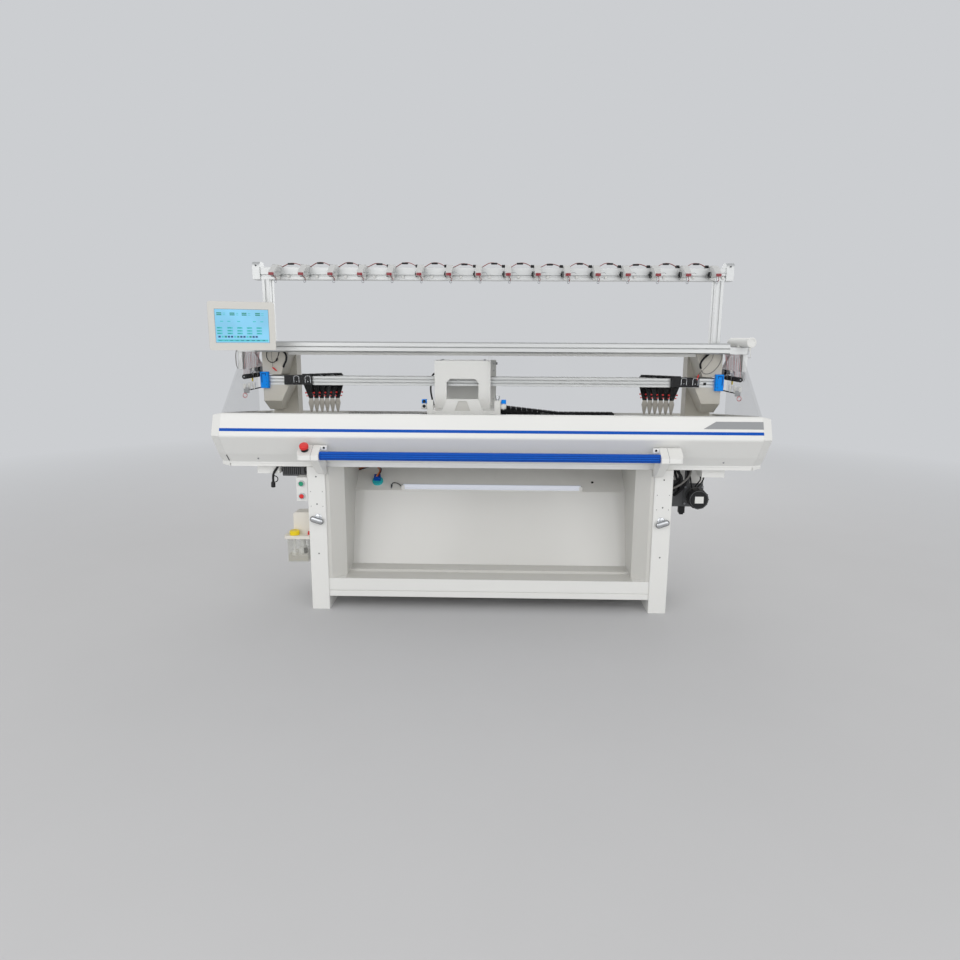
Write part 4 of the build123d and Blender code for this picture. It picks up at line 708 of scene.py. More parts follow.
def lead(
    name: str, body: str, finish: Finish, diameter: float, route: Sequence[Point],
) -> bpy.types.Object:
    """Makes a wire or hose that runs from one part of the machine to another.

    Args:
        name: The piece's name.
        body: The body that carries it.
        finish: Its finish.
        diameter: Its thickness.
        route: Places that its line is drawn towards, first and last ones met.

    Returns:
        The new object.
    """
    data = bpy.data.curves.new(name, "CURVE")
    data.dimensions = "3D"
    line = data.splines.new("NURBS")
    line.points.add(len(route) - 1)
    for point, place in zip(line.points, route):
        point.co = (*place, 1.0)
    line.order_u = 3
    line.use_endpoint_u = True
    data.resolution_u = 10
    made = bpy.data.objects.new(name, data)
    bpy.context.scene.collection.objects.link(made)
    thin = bpy.data.meshes.new_from_object(made)
    bpy.data.meshes.remove(thin)
    data.bevel_depth = diameter / 2
    data.bevel_resolution = 3
    data.use_fill_caps = True
    data.materials.append(finish.material())
    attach(made, body)
    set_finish(made, finish.slot)
    return made


def dress(node: str, *looks: tuple[Finish, Callable[[Vector, Vector], bool] | None]) -> None:
    """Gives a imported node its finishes.

    Args:
        node: The node's name.
        looks: Finishes, each with a test of a face's middle and normal, the last that fits being used.
    """
    target = frame["nodes"][node]
    target.data.materials.clear()
    for finish, _ in looks:
        target.data.materials.append(finish.material())
    for face in target.data.polygons:
        for index, (_, fits) in enumerate(looks):
            if fits is None or fits(face.center, face.normal):
                face.material_index = index
    LOG.info("dressed %s", node)


def part_box(node: str, fits: Callable[[Vector], bool]) -> tuple[Vector, Vector]:
    """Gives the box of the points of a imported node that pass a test.

    Args:
        node: The node's name.
        fits: Test of a point.

    Returns:
        Lowest and highest corner.
    """
    points = [vertex.co for vertex in frame["nodes"][node].data.vertices if fits(vertex.co)]
    low = Vector(min(point[axis] for point in points) for axis in range(3))
    high = Vector(max(point[axis] for point in points) for axis in range(3))
    return low, high


@dataclass
class Studio:
    """Pale floor, soft light and the camera that sees the machine as the photograph does."""

    lens: float = 26.325
    sensor: float = 36.0
    eye: Point = (0.0307, -3.3676, 1.2538)
    yaw: float = 0.023
    tilt: float = 0.198
    roll: float = -0.0053
    aim: Point = (0.0, 0.0, 0.8)
    lamps: tuple[tuple[str, Point, float, float], ...] = (
        ("key_light", (-2.4, -4.4, 2.2), 4.2, 66.0),
        ("fill_light", (2.6, -4.2, 2.0), 4.2, 52.0),
        ("back_light", (0.4, 3.6, 2.6), 3.4, 46.0),
    )
    sky_power: float = 0.7
    floor_radius: float = 30.0
    floor_depth: float = 0.01
    fade_start: float = 2.2
    fade_end: float = 6.5
    floor_shade: Shade = (199, 199, 200)
    sky_shade: Shade = (204, 206, 209)

    def build(self) -> None:
        """Makes the floor, the world, the lamps and the camera."""
        self.floor()
        self.world()
        for name, place, size, power in self.lamps:
            self.lamp(name, place, size, power)
        self.camera()

    def floor(self) -> None:
        """Lays a round floor whose far part fades into the background."""
        shape = Shape()
        rim = [(0.0, 0.0), (0.0, self.floor_radius), (self.floor_depth, self.floor_radius)]
        shape.lathe((0, 0, 0), (0, 0, -1), rim, 64)
        made = shape.loose("floor", PALE)
        del made["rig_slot"]
        material = bpy.data.materials.new("floor_paper")
        material.use_nodes = True
        tree = Tree(material.node_tree)
        shader = material.node_tree.nodes["Principled BSDF"]
        output = material.node_tree.nodes["Material Output"]
        shader.inputs["Roughness"].default_value = 0.9
        place = tree.add("TexCoord").outputs["Object"]
        noise = tree.add("TexNoise", None, Vector=place, Scale=3.0, Detail=5.0)
        low = [part * 0.97 for part in linear(self.floor_shade)[:3]]
        colour = tree.blend(noise.outputs["Fac"], (*low, 1.0), linear(self.floor_shade))
        tree.feed(shader.inputs["Base Color"], colour)
        far = tree.add("VectorMath", {"operation": "LENGTH"})
        tree.feed(far.inputs[0], place)
        share = tree.ramp(far.outputs["Value"], self.fade_start, self.fade_end, 0.0, 1.0)
        glow = tree.add("Emission", None, Color=linear(self.sky_shade), Strength=1.0)
        mixed = tree.joined("MixShader", None, share, shader.outputs[0], glow.outputs[0])
        tree.feed(output.inputs["Surface"], mixed)
        made.data.materials[0] = material

    def world(self) -> None:
        """Lights the room evenly and shows it as a pale background."""
        world = bpy.data.worlds.new("studio")
        world.use_nodes = True
        bpy.context.scene.world = world
        tree = Tree(world.node_tree)
        light = world.node_tree.nodes["Background"]
        light.inputs["Color"].default_value = (1.0, 1.0, 1.0, 1.0)
        light.inputs["Strength"].default_value = self.sky_power
        shown = tree.add("Background", None, Color=linear(self.sky_shade), Strength=1.0)
        path = tree.add("LightPath").outputs
        seen = tree.math("MAXIMUM", path["Is Camera Ray"], path["Is Transmission Ray"])
        share = tree.math("MAXIMUM", seen, path["Is Glossy Ray"])
        mixed = tree.joined("MixShader", None, share, light.outputs[0], shown.outputs[0])
        tree.feed(world.node_tree.nodes["World Output"].inputs["Surface"], mixed)

    def lamp(self, name: str, place: Point, size: float, power: float) -> None:
        """Hangs a square soft lamp that looks at the machine.

        Args:
            name: The lamp's name.
            place: Where it hangs.
            size: Length of its side.
            power: Its strength in watts.
        """
        data = bpy.data.lights.new(name, "AREA")
        data.size = size
        data.energy = power
        made = bpy.data.objects.new(name, data)
        bpy.context.scene.collection.objects.link(made)
        made.location = place
        made.rotation_mode = "QUATERNION"
        made.rotation_quaternion = (Vector(self.aim) - Vector(place)).to_track_quat("-Z", "Y")

    def camera(self) -> None:
        """Sets up the camera."""
        data = bpy.data.cameras.new("photo_camera")
        data.lens = self.lens
        data.sensor_width = self.sensor
        made = bpy.data.objects.new("photo_camera", data)
        bpy.context.scene.collection.objects.link(made)
        made.location = self.eye
        level = math.cos(self.tilt)
        forward = Vector((-math.sin(self.yaw) * level, math.cos(self.yaw) * level, -math.sin(self.tilt)))
        made.rotation_mode = "QUATERNION"
        made.rotation_quaternion = forward.to_track_quat("-Z", "Y")
        made.rotation_quaternion.rotate(Matrix.Rotation(self.roll, 3, forward).to_quaternion())
        bpy.context.scene.camera = made
        bpy.context.scene.view_settings.view_transform = "Standard"


@dataclass
class PackedNodes:
    """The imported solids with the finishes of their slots, and finer looks where a node has several."""

    tracks: int = 6
    feeder_neck: float = 0.966
    recess_y: float = -0.1195
    recess_near: float = 0.0006
    facing: float = -0.9
    neck_foot: Point = (-0.8025, -0.3645, 0.776)
    neck_axis: Point = (0.0, -0.52876, 0.84877)
    neck_rise: float = 0.001
    neck_radius: float = 0.0175

    def build(self) -> None:
        """Dresses every node."""
        for part in frame["record"]["subparts"]:
            dress(part["node"], (SLOT_FINISHES[part["material_slot"]], None))
        for _, side in SIDES:
            for track in range(self.tracks):
                leaf = (LEAF, lambda spot, _: spot.z < self.feeder_neck)
                dress(f"{side}_feeder_{track + 1}", (BLACK, None), leaf)
        dress("bin_back_panel", (PANEL, None))
        # The upper panel takes the lightened grey, painted light against the shade under the bed.
        dress("bin_upper_panel", (LIGHTENED_GREY, None))
        dress("tension_units", (UNIT, None))
        dress("oiler_head", (OILER, None))
        dress("monitor_housing", (BEZEL, None))
        dress("rail_end_stops", (AZURE, None))
        for latch in ("left_latch", "right_latch"):
            dress(latch, (CHROME, None))
        dress("cam_boxes", (WHITE, None), (GREY, self.in_recess))
        dress("bar_brackets", (WHITE, None), (BLACK, self.on_neck))

    def on_neck(self, spot: Vector, _: Vector) -> bool:
        """Tells whether a face is on the emergency button's neck, which stands on the sloping block."""
        off = spot - Vector(self.neck_foot)
        rise = off.dot(Vector(self.neck_axis))
        return rise > self.neck_rise and (off - Vector(self.neck_axis) * rise).length < self.neck_radius

    def in_recess(self, spot: Vector, normal: Vector) -> bool:
        """Tells whether a face is the floor of the front plate's recess."""
        return normal.y < self.facing and abs(spot.y - self.recess_y) < self.recess_near


@dataclass
class CoverTrim:
    """Blue stripe, bare name plate and small screws on the front cover, and a dark strip that paints the
    shade in the slit at its left end.
    """

    lip: Flat = (-0.312, 0.924)
    nose: Flat = (-0.35, 0.832)
    half: float = 1.183
    stripe_z: float = 0.8597
    stripe_height: float = 0.0125
    thickness: float = 0.0006
    plate_left: float = 0.925
    plate_slant: float = 0.056
    plate_low: float = 0.878
    plate_high: float = 0.909
    screw_radius: float = 0.004
    screw_places: Flat = (1.045, 0.32)
    screw_row: Flat = (-0.2575, 0.7195)
    screw_way: Point = (0, -0.77, -0.64)
    slit_left: float = -1.1848
    slit_width: float = 0.004

    def on_face(self, height: float, proud: float) -> Flat:
        """Gives the place on the sloping front at a height, standing proud by a distance."""
        share = (self.lip[1] - height) / (self.lip[1] - self.nose[1])
        out = Vector((self.lip[1] - self.nose[1], self.nose[0] - self.lip[0])).normalized()
        depth = self.lip[0] + (self.nose[0] - self.lip[0]) * share
        return depth - out.x * proud, height - out.y * proud

    def band(self, low: float, high: float) -> list[Flat]:
        """Gives the section of a thin strip that lies on the sloping front."""
        corners = ((low, 0), (low, self.thickness), (high, self.thickness), (high, 0))
        return [self.on_face(height, proud) for height, proud in corners]

    def build(self) -> None:
        """Makes the trim."""
        half_height = self.stripe_height / 2
        section = self.band(self.stripe_z - half_height, self.stripe_z + half_height)
        stripe = Shape().prism(section, Axis.X, -self.half, self.half)
        stripe.piece("cover_stripe", "frame", BLUE)
        self.plate()
        screws = Shape()
        for side, _ in SIDES:
            for across in self.screw_places:
                screws.screw((side * across, *self.screw_row), self.screw_way, self.screw_radius)
        screws.piece("cover_screws", "frame", STEEL)
        # Dark strip: painted shade in the gap between the cover and its left end cap.
        section = [(-0.274, 0.7376), (-0.2748, 0.7368), (-0.2448, 0.7061), (-0.244, 0.7069)]
        slit = Shape().prism(section, Axis.X, self.slit_left, self.slit_left + self.slit_width)
        slit.piece("cover_slit_shade", "frame", DARK)

    def plate(self) -> None:
        """Makes the bare grey plate with its slanting end."""
        shape = Shape()
        corners = []
        for proud in (0.0, self.thickness):
            low = self.on_face(self.plate_low, proud)
            high = self.on_face(self.plate_high, proud)
            top_left = self.plate_left + self.plate_slant
            ring = [(self.plate_left, *low), (self.half, *low), (self.half, *high), (top_left, *high)]
            corners.append([shape.mesh.verts.new(point) for point in ring])
        shape.skin(corners)
        shape.piece("cover_plate", "frame", MID)


@dataclass
class StandTrim:
    """Screw holes in the legs and the fittings of the fabric bin."""

    leg_x: float = 0.7885
    leg_front: float = -0.25
    hole_heights: tuple[float, ...] = (0.636, 0.508, 0.272)
    hole_radius: float = 0.0035
    small_radius: float = 0.0018
    small_half: float = 0.027
    small_heights: Flat = (0.566, 0.498)
    panel_foot: Flat = (0.052, 0.512)
    panel_head: Flat = (0.2, 0.625)
    socket_x: float = -0.565
    socket_share: float = 0.3
    socket_height: float = 0.008
    socket_radius: float = 0.027

    def build(self) -> None:
        """Makes the fittings."""
        self.holes()
        self.sensor()
        self.lamp_fittings()

    def holes(self) -> None:
        """Makes dark discs that paint the shade inside the countersunk holes in the legs' fronts, and small
        dark domed heads beside them.
        """
        shape, radius = Shape(), self.hole_radius
        rim = [(0.0, radius), (0.0004, radius), (0.0004, radius * 0.6), (0.0, 0.0)]
        for side, _ in SIDES:
            for height in self.hole_heights:
                # Dark disc: painted shade inside a countersunk hole.
                shape.lathe((side * self.leg_x, self.leg_front, height), (0, -1, 0), rim, 12)
            for across in (-self.small_half, self.small_half):
                for height in self.small_heights:
                    spot = (side * self.leg_x + across, self.leg_front, height)
                    shape.screw(spot, (0, -1, 0), self.small_radius)
        shape.piece("leg_hole_shades_and_screws", "frame", DARK)

    def on_panel(self, across: float, share: float) -> Matrix:
        """Gives a place on the bin's upper panel, with X across, Y up the slope and Z out of it.

        Args:
            across: Distance along X.
            share: How far up the panel's slope.

        Returns:
            The place.
        """
        foot, head = Vector(self.panel_foot), Vector(self.panel_head)
        spot = foot + (head - foot) * share
        slope = math.atan2(head.y - foot.y, head.x - foot.x)
        return Matrix.Translation((across, spot.x, spot.y)) @ Matrix.Rotation(slope, 4, "X")

    def sensor(self) -> None:
        """Makes the round socket with its terminal block and wires."""
        place = self.on_panel(self.socket_x, self.socket_share)
        base, radius = self.socket_height, self.socket_radius
        board = Shape(place)
        profile = [(0.0, radius), (base + 0.002, radius), (base + 0.004, radius * 0.94), (base + 0.004, 0.0)]
        board.lathe((0, 0, 0), (0, 0, 1), profile, 28)
        for across in (-0.019, 0.019):
            board.screw((across, -0.008, base + 0.004), (0, 0, 1), 0.003)
        board.piece("bin_sensor_socket", "frame", CYAN)
        block = Shape(place).box((-0.018, -0.006, base + 0.003), (0.014, 0.026, base + 0.02), 0.002)
        block.box((-0.01, 0.0, base + 0.019), (0.006, 0.018, base + 0.026), 0.0015)
        block.piece("bin_sensor_block", "frame", BLUE)
        wires = (("black", BLACK), ("red", WIRE_RED), ("orange", WIRE_ORANGE))
        for index, (name, finish) in enumerate(wires):
            shift = 0.005 * index
            local = [
                (0.004 - shift, 0.004, base + 0.024), (0.016 - shift, 0.012, base + 0.038),
                (0.022 - shift, 0.042, base + 0.044 - shift), (-0.004 - shift, 0.07, base + 0.034),
                (-0.05 - shift, 0.078 + shift, base + 0.016), (-0.112, 0.072 + shift, 0.003),
            ]
            route = [tuple(place @ Vector(point)) for point in local]
            lead(f"bin_sensor_wire_{name}", "frame", finish, 0.0042, route)

    def lamp_fittings(self) -> None:
        """Makes the bin lamp's end caps, its lead and clip, and a black bush whose flat middle paints the
        shade of a spare hole.
        """
        low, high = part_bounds("bin_lamp")
        caps = Shape()
        for end, way in ((low.x, -1), (high.x, 1)):
            near, far = sorted((end - way * 0.008, end + way * 0.009))
            caps.box((near, low.y - 0.001, low.z - 0.001), (far, high.y - 0.004, high.z - 0.004), 0.003)
        caps.piece("bin_lamp_caps", "frame", PALE)
        place = self.on_panel(low.x - 0.06, 0.12)
        clip = Shape(place).box((-0.004, -0.012, 0.0), (0.004, 0.012, 0.002))
        clip.box((-0.004, 0.006, 0.0), (0.004, 0.009, 0.012))
        clip.piece("bin_lamp_clip", "frame", STEEL)
        start = (low.x - 0.008, (low.y + high.y) / 2 - 0.002, (low.z + high.z) / 2)
        bends = ((0.036, 0.01, 0.012), (0.012, 0.022, 0.008), (0.0, 0.012, 0.01), (0.0, -0.004, 0.0034))
        route = [start, *(tuple(place @ Vector(point)) for point in bends)]
        lead("bin_lamp_lead", "frame", BLACK, 0.0046, route)
        # Black bush rim, its flat middle a painted shade of the hole.
        bush = [(0.0, 0.007), (0.0008, 0.007), (0.0008, 0.0052), (0.0002, 0.005), (0.0002, 0.0)]
        hole = Shape(self.on_panel(0.515, 0.34)).lathe((0, 0, 0), (0, 0, 1), bush, 18)
        hole.piece("bin_panel_bush_hole_shade", "frame", BLACK)


@dataclass
class YarnRail:
    """Knobs, lamps, eyelets, clips and jumper wires of the tension units on the top beam."""

    count: int = 16
    pitch: float = 0.136
    shift: float = 0.01
    half_width: float = 0.014
    front: float = -0.045
    low: float = 1.538
    beam_front: float = 0.06
    disc: Flat = (0.035, 1.551)
    disc_radius: float = 0.0136
    lamp_lead: tuple[Point, ...] = (
        (0.002, -0.032, 0.001), (0.007, -0.022, -0.006), (0.012, -0.012, -0.012), (0.01, -0.006, -0.02),
    )
    hook: tuple[Point, ...] = ((0.003, 0.0, 0.002), (0.004, -0.003, -0.012), (0.006, -0.005, -0.02))
    feeler: tuple[Point, ...] = ((0.0135, -0.03, 0.014), (0.03, -0.034, 0.016), (0.038, -0.035, 0.011))

    def bends(self, middle: float, offsets: Sequence[Point]) -> list[Vector]:
        """Gives the bends of a wire at one unit, from their offsets."""
        return [Vector((middle + across, back, self.low + up)) for across, back, up in offsets]

    def places(self) -> list[float]:
        """Gives the middle of each unit along X."""
        return [self.shift + (index - (self.count - 1) / 2) * self.pitch for index in range(self.count)]

    def build(self) -> None:
        """Makes the fittings."""
        knobs, lenses, wires, feet, reds = Shape(), Shape(), Shape(), Shape(), Shape()
        disc_length = self.places()[0] - self.half_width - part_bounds("tension_units")[0].x
        for middle in self.places():
            self.knob(knobs, middle - self.half_width, disc_length)
            lenses.box(
                (middle - 0.0118, self.front - 0.0062, self.low - 0.0006),
                (middle + 0.0118, self.front + 0.002, self.low + 0.0118), 0.002,
            )
            self.wire(wires, middle)
            reds.tube(self.bends(middle, self.lamp_lead), 0.0015, 6)
            seat = self.beam_front - 0.0002
            feet.box(
                (middle - 0.011, 0.04, self.low - 0.011), (middle + 0.011, seat, self.low + 0.006), 0.002
            )
            feet.box(
                (middle + 0.044, self.beam_front - 0.006, self.low - 0.004),
                (middle + 0.056, seat, self.low + 0.008), 0.002,
            )
        knobs.piece("tension_knobs", "frame", BLACK)
        lenses.piece("tension_lamps", "frame", LENS)
        reds.piece("tension_lamp_leads", "frame", LENS)
        wires.piece("tension_eyelets", "frame", STEEL)
        feet.piece("tension_feet", "frame", PALE)
        self.jumpers()
        self.end_buttons()

    def knob(self, shape: Shape, side: float, length: float) -> None:
        """Adds the disc stack and the small upper knob of one unit.

        Args:
            shape: Where to add them.
            side: The unit's left face.
            length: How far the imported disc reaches.
        """
        radius = self.disc_radius
        profile = [
            (0.0, radius), (length * 0.3, radius), (length * 0.36, radius * 0.8),
            (length * 0.5, radius * 0.8), (length * 0.56, radius * 1.03), (length + 0.0005, radius),
            (length + 0.001, radius * 0.5), (length + 0.004, radius * 0.42), (length + 0.0045, 0.0),
        ]
        shape.lathe((side, *self.disc), (-1, 0, 0), profile)
        shape.box((side - 0.015, 0.072, 1.5835), (side + 0.0005, 0.098, 1.5975), 0.0016)
        shape.box((side - 0.01, 0.066, 1.5865), (side - 0.002, 0.073, 1.5945), 0.0012)

    def wire(self, shape: Shape, middle: float) -> None:
        """Adds one unit's hanging eyelet and its feeler wire."""
        shape.tube(self.bends(middle, self.hook), 0.0013)
        eye = (middle + 0.0065, -0.005, self.low - 0.025)
        shape.tube(ring_path(eye, 0.005, Vector((1, 0, 0)), Vector((0, 0, 1))), 0.0013, 6, True)
        shape.tube(self.bends(middle, self.feeler), 0.0011)

    def jumpers(self) -> None:
        """Makes the two wires and the sleeve between each pair of units."""
        sleeves = Shape()
        places = self.places()
        for index, (near, far) in enumerate(zip(places, places[1:])):
            start, end = near + self.half_width - 0.002, far - self.half_width - 0.013
            rise = 1.606 if index % 3 else 1.602
            span = end - start
            for name, finish, back in (("red", WIRE_RED, 0.082), ("grey", WIRE_GREY, 0.089)):
                route = [
                    (start, back, 1.5855), (start + span * 0.16, back, rise - 0.01),
                    (start + span * 0.42, back, rise + 0.003), (start + span * 0.8, back, rise - 0.001),
                    (end, back, 1.591),
                ]
                lead(f"jumper_{name}_{index + 1}", "frame", finish, 0.003, route)
            middle = start + span * (0.46 + 0.05 * (index % 4))
            sleeves.box(
                (middle - 0.015, 0.0785, rise - 0.0062), (middle + 0.015, 0.0925, rise + 0.002), 0.0028
            )
        sleeves.piece("jumper_sleeves", "frame", BLACK)

    def end_buttons(self) -> None:
        """Makes the screws and plugs by the beam's end plates."""
        screws = Shape()
        for side, _ in SIDES:
            for depth in (0.072, 0.108):
                screws.screw((side * 1.131, depth, 1.552), (side, 0, 0), 0.006)
            screws.screw((side * 1.113, 0.052, 1.59), (0, -1, 0), 0.004)
        screws.piece("end_plate_screws", "frame", DARK)


@dataclass
class Monitor:
    """Frame, graphics and back screws of the swivelling monitor."""

    centre: Point = (-1.1038, -0.2, 1.305)
    turn: float = math.radians(24)
    width: float = 0.228
    height: float = 0.146
    half_thickness: float = 0.018
    glass: float = 0.0177

    def place(self) -> Matrix:
        """Gives the monitor's place, with X across, Y up and Z out of the screen."""
        return facing_front(self.centre, self.turn)

    def build(self) -> None:
        """Makes the pieces."""
        self.frame_lip()
        colours = {"teal": SCREEN_TEAL, "green": SCREEN_GREEN, "dark": SCREEN_NAVY}
        rows = {colour: Shape(self.place()) for colour in colours}
        self.graphics(rows)
        for colour, finish in colours.items():
            rows[colour].piece(f"screen_rows_{colour}", "monitor", finish)
        screws = Shape(self.place())
        for across in (-0.1, 0.1):
            for up in (-0.07, 0.07):
                screws.screw((across, up, -self.half_thickness), (0, 0, -1), 0.004)
        screws.piece("monitor_screws", "monitor", STEEL)

    def frame_lip(self) -> None:
        """Makes the thin dark gasket round the screen."""
        lip = Shape(self.place())
        half_w, half_h, wide = self.width / 2, self.height / 2, 0.0016
        front = self.half_thickness + 0.0002
        for low, high in (
            ((-half_w, half_h - wide), (half_w, half_h)), ((-half_w, -half_h), (half_w, -half_h + wide)),
            ((-half_w, -half_h), (-half_w + wide, half_h)), ((half_w - wide, -half_h), (half_w, half_h)),
        ):
            lip.box((*low, self.glass), (*high, front), 0.0)
        lip.piece("screen_gasket", "monitor", MID)

    def graphics(self, rows: dict[str, Shape]) -> None:
        """Draws plain bars where a control screen has its fields.

        Args:
            rows: The shape of each colour.
        """
        def bar(colour: str, across: float, up: float, width: float, height: float) -> None:
            """Adds one bar, placed by shares of the screen."""
            low = ((across - 0.5) * self.width, (up - 0.5) * self.height)
            high = (low[0] + width * self.width, low[1] + height * self.height)
            rows[colour].box((*low, self.glass), (*high, self.glass + 0.0001), 0.0)

        for across in (0.04, 0.28, 0.5, 0.75):
            for up in (0.86, 0.81):
                bar("green", across, up, 0.09, 0.034)
                bar("teal", across + 0.11, up + 0.008, 0.05, 0.016)
        for across in (0.1, 0.23, 0.41, 0.7, 0.84):
            bar("teal", across, 0.62, 0.055, 0.03)
        for across in (0.03, 0.22, 0.4, 0.58, 0.76):
            for up in (0.42, 0.335, 0.255):
                bar("teal", across, up, 0.1, 0.05)
                bar("green", across + 0.01, up + 0.015, 0.06, 0.018)
        for index in range(13):
            colour = ("dark", "teal", "green", "dark")[index % 4]
            bar(colour, 0.05 + 0.057 * index, 0.155, 0.042, 0.055)
        bar("teal", 0.03, 0.045, 0.94, 0.055)
        for index in range(9):
            bar("dark", 0.06 + 0.1 * index, 0.06, 0.055, 0.022)


@dataclass
class Controls:
    """Bezels, screws and seams of the switch box, the stop bar's brackets and the latches."""

    button_x: float = -0.855
    start_z: float = 0.6045
    stop_z: float = 0.5462
    box_front: float = -0.25
    latch_x: float = 0.7885
    latch_z: float = 0.435
    latch_front: float = -0.268
    leg_front: float = -0.25
    latch_tilt: float = math.radians(18)
    latch_reach: float = 0.018
    latch_radius: float = 0.0124
    lug_inner: float = 0.711
    arm_inner: float = 0.738
    arm_outer: float = 0.772
    highlight_half: float = 0.734
    highlight_heights: Flat = (0.7465, 0.756)

    def build(self) -> None:
        """Makes the pieces."""
        rings = Shape()
        profile = [
            (0.0, 0.0146), (0.0035, 0.0146), (0.0085, 0.013),
            (0.0122, 0.0128), (0.0122, 0.0106), (0.004, 0.0106),
        ]
        for height in (self.start_z, self.stop_z):
            rings.lathe((self.button_x, self.box_front, height), (0, -1, 0), profile, 28)
        rings.piece("button_bezels", "frame", CHROME)
        for side, name in SIDES:
            self.latch(side, name)
        # Thin strips in lighter blue paint the highlight lines along the stop bar's front.
        ribs = Shape()
        for height in self.highlight_heights:
            ribs.box(
                (-self.highlight_half, -0.3817, height - 0.0012), (self.highlight_half, -0.3805, height + 0.0012), 0.0004
            )
        ribs.piece("stop_bar_highlight_ribs", "stop_bar", BLUE_HIGHLIGHT)
        self.lugs()

    def latch(self, side: int, name: str) -> None:
        """Makes the rounded lever, a dark tube round its rim that paints the dark reflection along the chrome
        edge, and the domed rose behind it.

        Args:
            side: -1 for the left, 1 for the right.
            name: The side's name.
        """
        place = Matrix.Translation((side * self.latch_x, self.latch_front, self.latch_z))
        place = place @ Matrix.Rotation(-side * self.latch_tilt, 4, "Y")
        turns = [math.pi * (step / 12 - 0.5) for step in range(13)]
        ends = [(self.latch_reach, angle) for angle in turns]
        ends += [(-self.latch_reach, angle + math.pi) for angle in turns]

        def outline(radius: float, depth: float) -> list[Point]:
            """Gives the lever's rounded outline at a depth."""
            return [(mid + radius * math.cos(turn), depth, radius * math.sin(turn)) for mid, turn in ends]

        lever = Shape(place)
        layers = ((0.0004, 0.94), (-0.0022, 0.9), (-0.0042, 0.74), (-0.0056, 0.46), (-0.006, 0.1))
        rings = [
            [lever.mesh.verts.new(spot) for spot in outline(self.latch_radius * share, depth)]
            for depth, share in layers
        ]
        lever.skin(rings)
        lever.piece(f"{name}_latch_lever", f"{name}_latch", CHROME)
        # Dark tube on the lever's rim: painted dark reflection of the chrome edge.
        edge = Shape(place).tube(outline(self.latch_radius, -0.0004), 0.0014, 8, True)
        edge.piece(f"{name}_latch_rim_shade", f"{name}_latch", DARK)
        dome = [
            (-0.0004, 0.0), (-0.0004, 0.0188), (0.0014, 0.0184),
            (0.0036, 0.015), (0.005, 0.009), (0.0054, 0.0),
        ]
        spot = (side * (self.latch_x - 0.003), self.leg_front, self.latch_z + 0.009)
        rose = Shape().lathe(spot, (0, -1, 0), dome, 36)
        rose.piece(f"{name}_latch_rose", "frame", CHROME)

    def lugs(self) -> None:
        """Makes the lugs behind the stop bar's ends, each with a black disc that paints the shade in its
        bore, and the seams of the brackets.
        """
        lugs, bores, seams = Shape(), Shape(), Shape()
        bore = [(0.0, 0.0052), (0.0005, 0.0052), (0.0005, 0.0)]
        slope = [
            (-0.3955, 0.738), (-0.3955, 0.7575), (-0.334, 0.7955),
            (-0.334, 0.7945), (-0.3945, 0.7568), (-0.3945, 0.738),
        ]
        for side, _ in SIDES:
            near, far = sorted((side * self.lug_inner, side * (self.arm_inner + 0.0005)))
            lugs.box((near, -0.343, 0.771), (far, -0.332, 0.794), 0.003)
            # Black disc: painted shade inside the lug's bore.
            bores.lathe((side * 0.724, -0.3428, 0.7835), (0, -1, 0), bore, 18)
            seams.prism(slope, Axis.X, side * self.arm_outer - 0.0007, side * self.arm_outer + 0.0007)
        lugs.piece("bracket_lugs", "frame", WHITE)
        bores.piece("bracket_lug_bore_shade", "frame", BLACK)
        seams.piece("bracket_seams", "frame", MID)


@dataclass
class Oiler:
    """Inside of the clear oil tank, the cap's flutes and a nipple on the lid."""

    tank_low: Point = (-0.936, -0.237, 0.228)
    tank_high: Point = (-0.843, -0.143, 0.34)
    cap: Flat = (-0.905, -0.226)
    cap_low: float = 0.3553
    cap_high: float = 0.3763
    cap_radius: float = 0.022
    flutes: int = 18
    flute_radius: float = 0.0013

    def build(self) -> None:
        """Makes the pieces."""
        across, back = ((self.tank_low[axis] + self.tank_high[axis]) / 2 for axis in (0, 1))
        stem = [(0.0, 0.012), (0.05, 0.012), (0.052, 0.02), (0.086, 0.02), (0.09, 0.014), (0.09, 0.0)]
        inner = Shape().lathe((across + 0.012, back, 0.34), (0, 0, -1), stem)
        strainer = [(0.0, 0.005), (0.07, 0.005), (0.072, 0.013), (0.092, 0.013), (0.094, 0.0)]
        inner.lathe((across - 0.026, back - 0.01, 0.34), (0, 0, -1), strainer, 16)
        inner.piece("oiler_pump_stem", "frame", PALE)
        profile = [(0.0, 0.0), (0.0, 0.009), (0.022, 0.009), (0.022, 0.0)]
        spot = (self.tank_high[0] - 0.014, self.tank_low[1] + 0.014, 0.268)
        Shape().lathe(spot, (0, 0, 1), profile, 16).piece("oiler_float", "frame", BLACK)
        low = tuple(part + 0.001 for part in self.tank_low)
        high = (self.tank_high[0] - 0.001, self.tank_high[1] - 0.001, 0.262)
        Shape().box(low, high, 0.004).piece("oiler_oil", "frame", OIL)
        self.cap_flutes()
        profile = [(0.0, 0.006), (0.008, 0.006), (0.009, 0.004), (0.016, 0.0035), (0.017, 0.0)]
        nipple = Shape().lathe((-0.8395, -0.222, 0.355), (0, 0, 1), profile, 14)
        nipple.piece("oiler_nipple", "frame", RED)

    def cap_flutes(self) -> None:
        """Makes the flutes round the filler cap."""
        ridges, thick = Shape(), self.flute_radius
        height, reach = self.cap_high - self.cap_low, self.cap_radius - 0.0006
        profile = [(0.002, 0.0), (0.003, thick), (height - 0.003, thick), (height - 0.001, 0.0)]
        for index in range(self.flutes):
            angle = 2 * math.pi * index / self.flutes
            across, back = self.cap[0] + reach * math.cos(angle), self.cap[1] + reach * math.sin(angle)
            ridges.lathe((across, back, self.cap_low), (0, 0, 1), profile, 8)
        ridges.piece("oiler_cap_flutes", "oiler_cap", YELLOW)


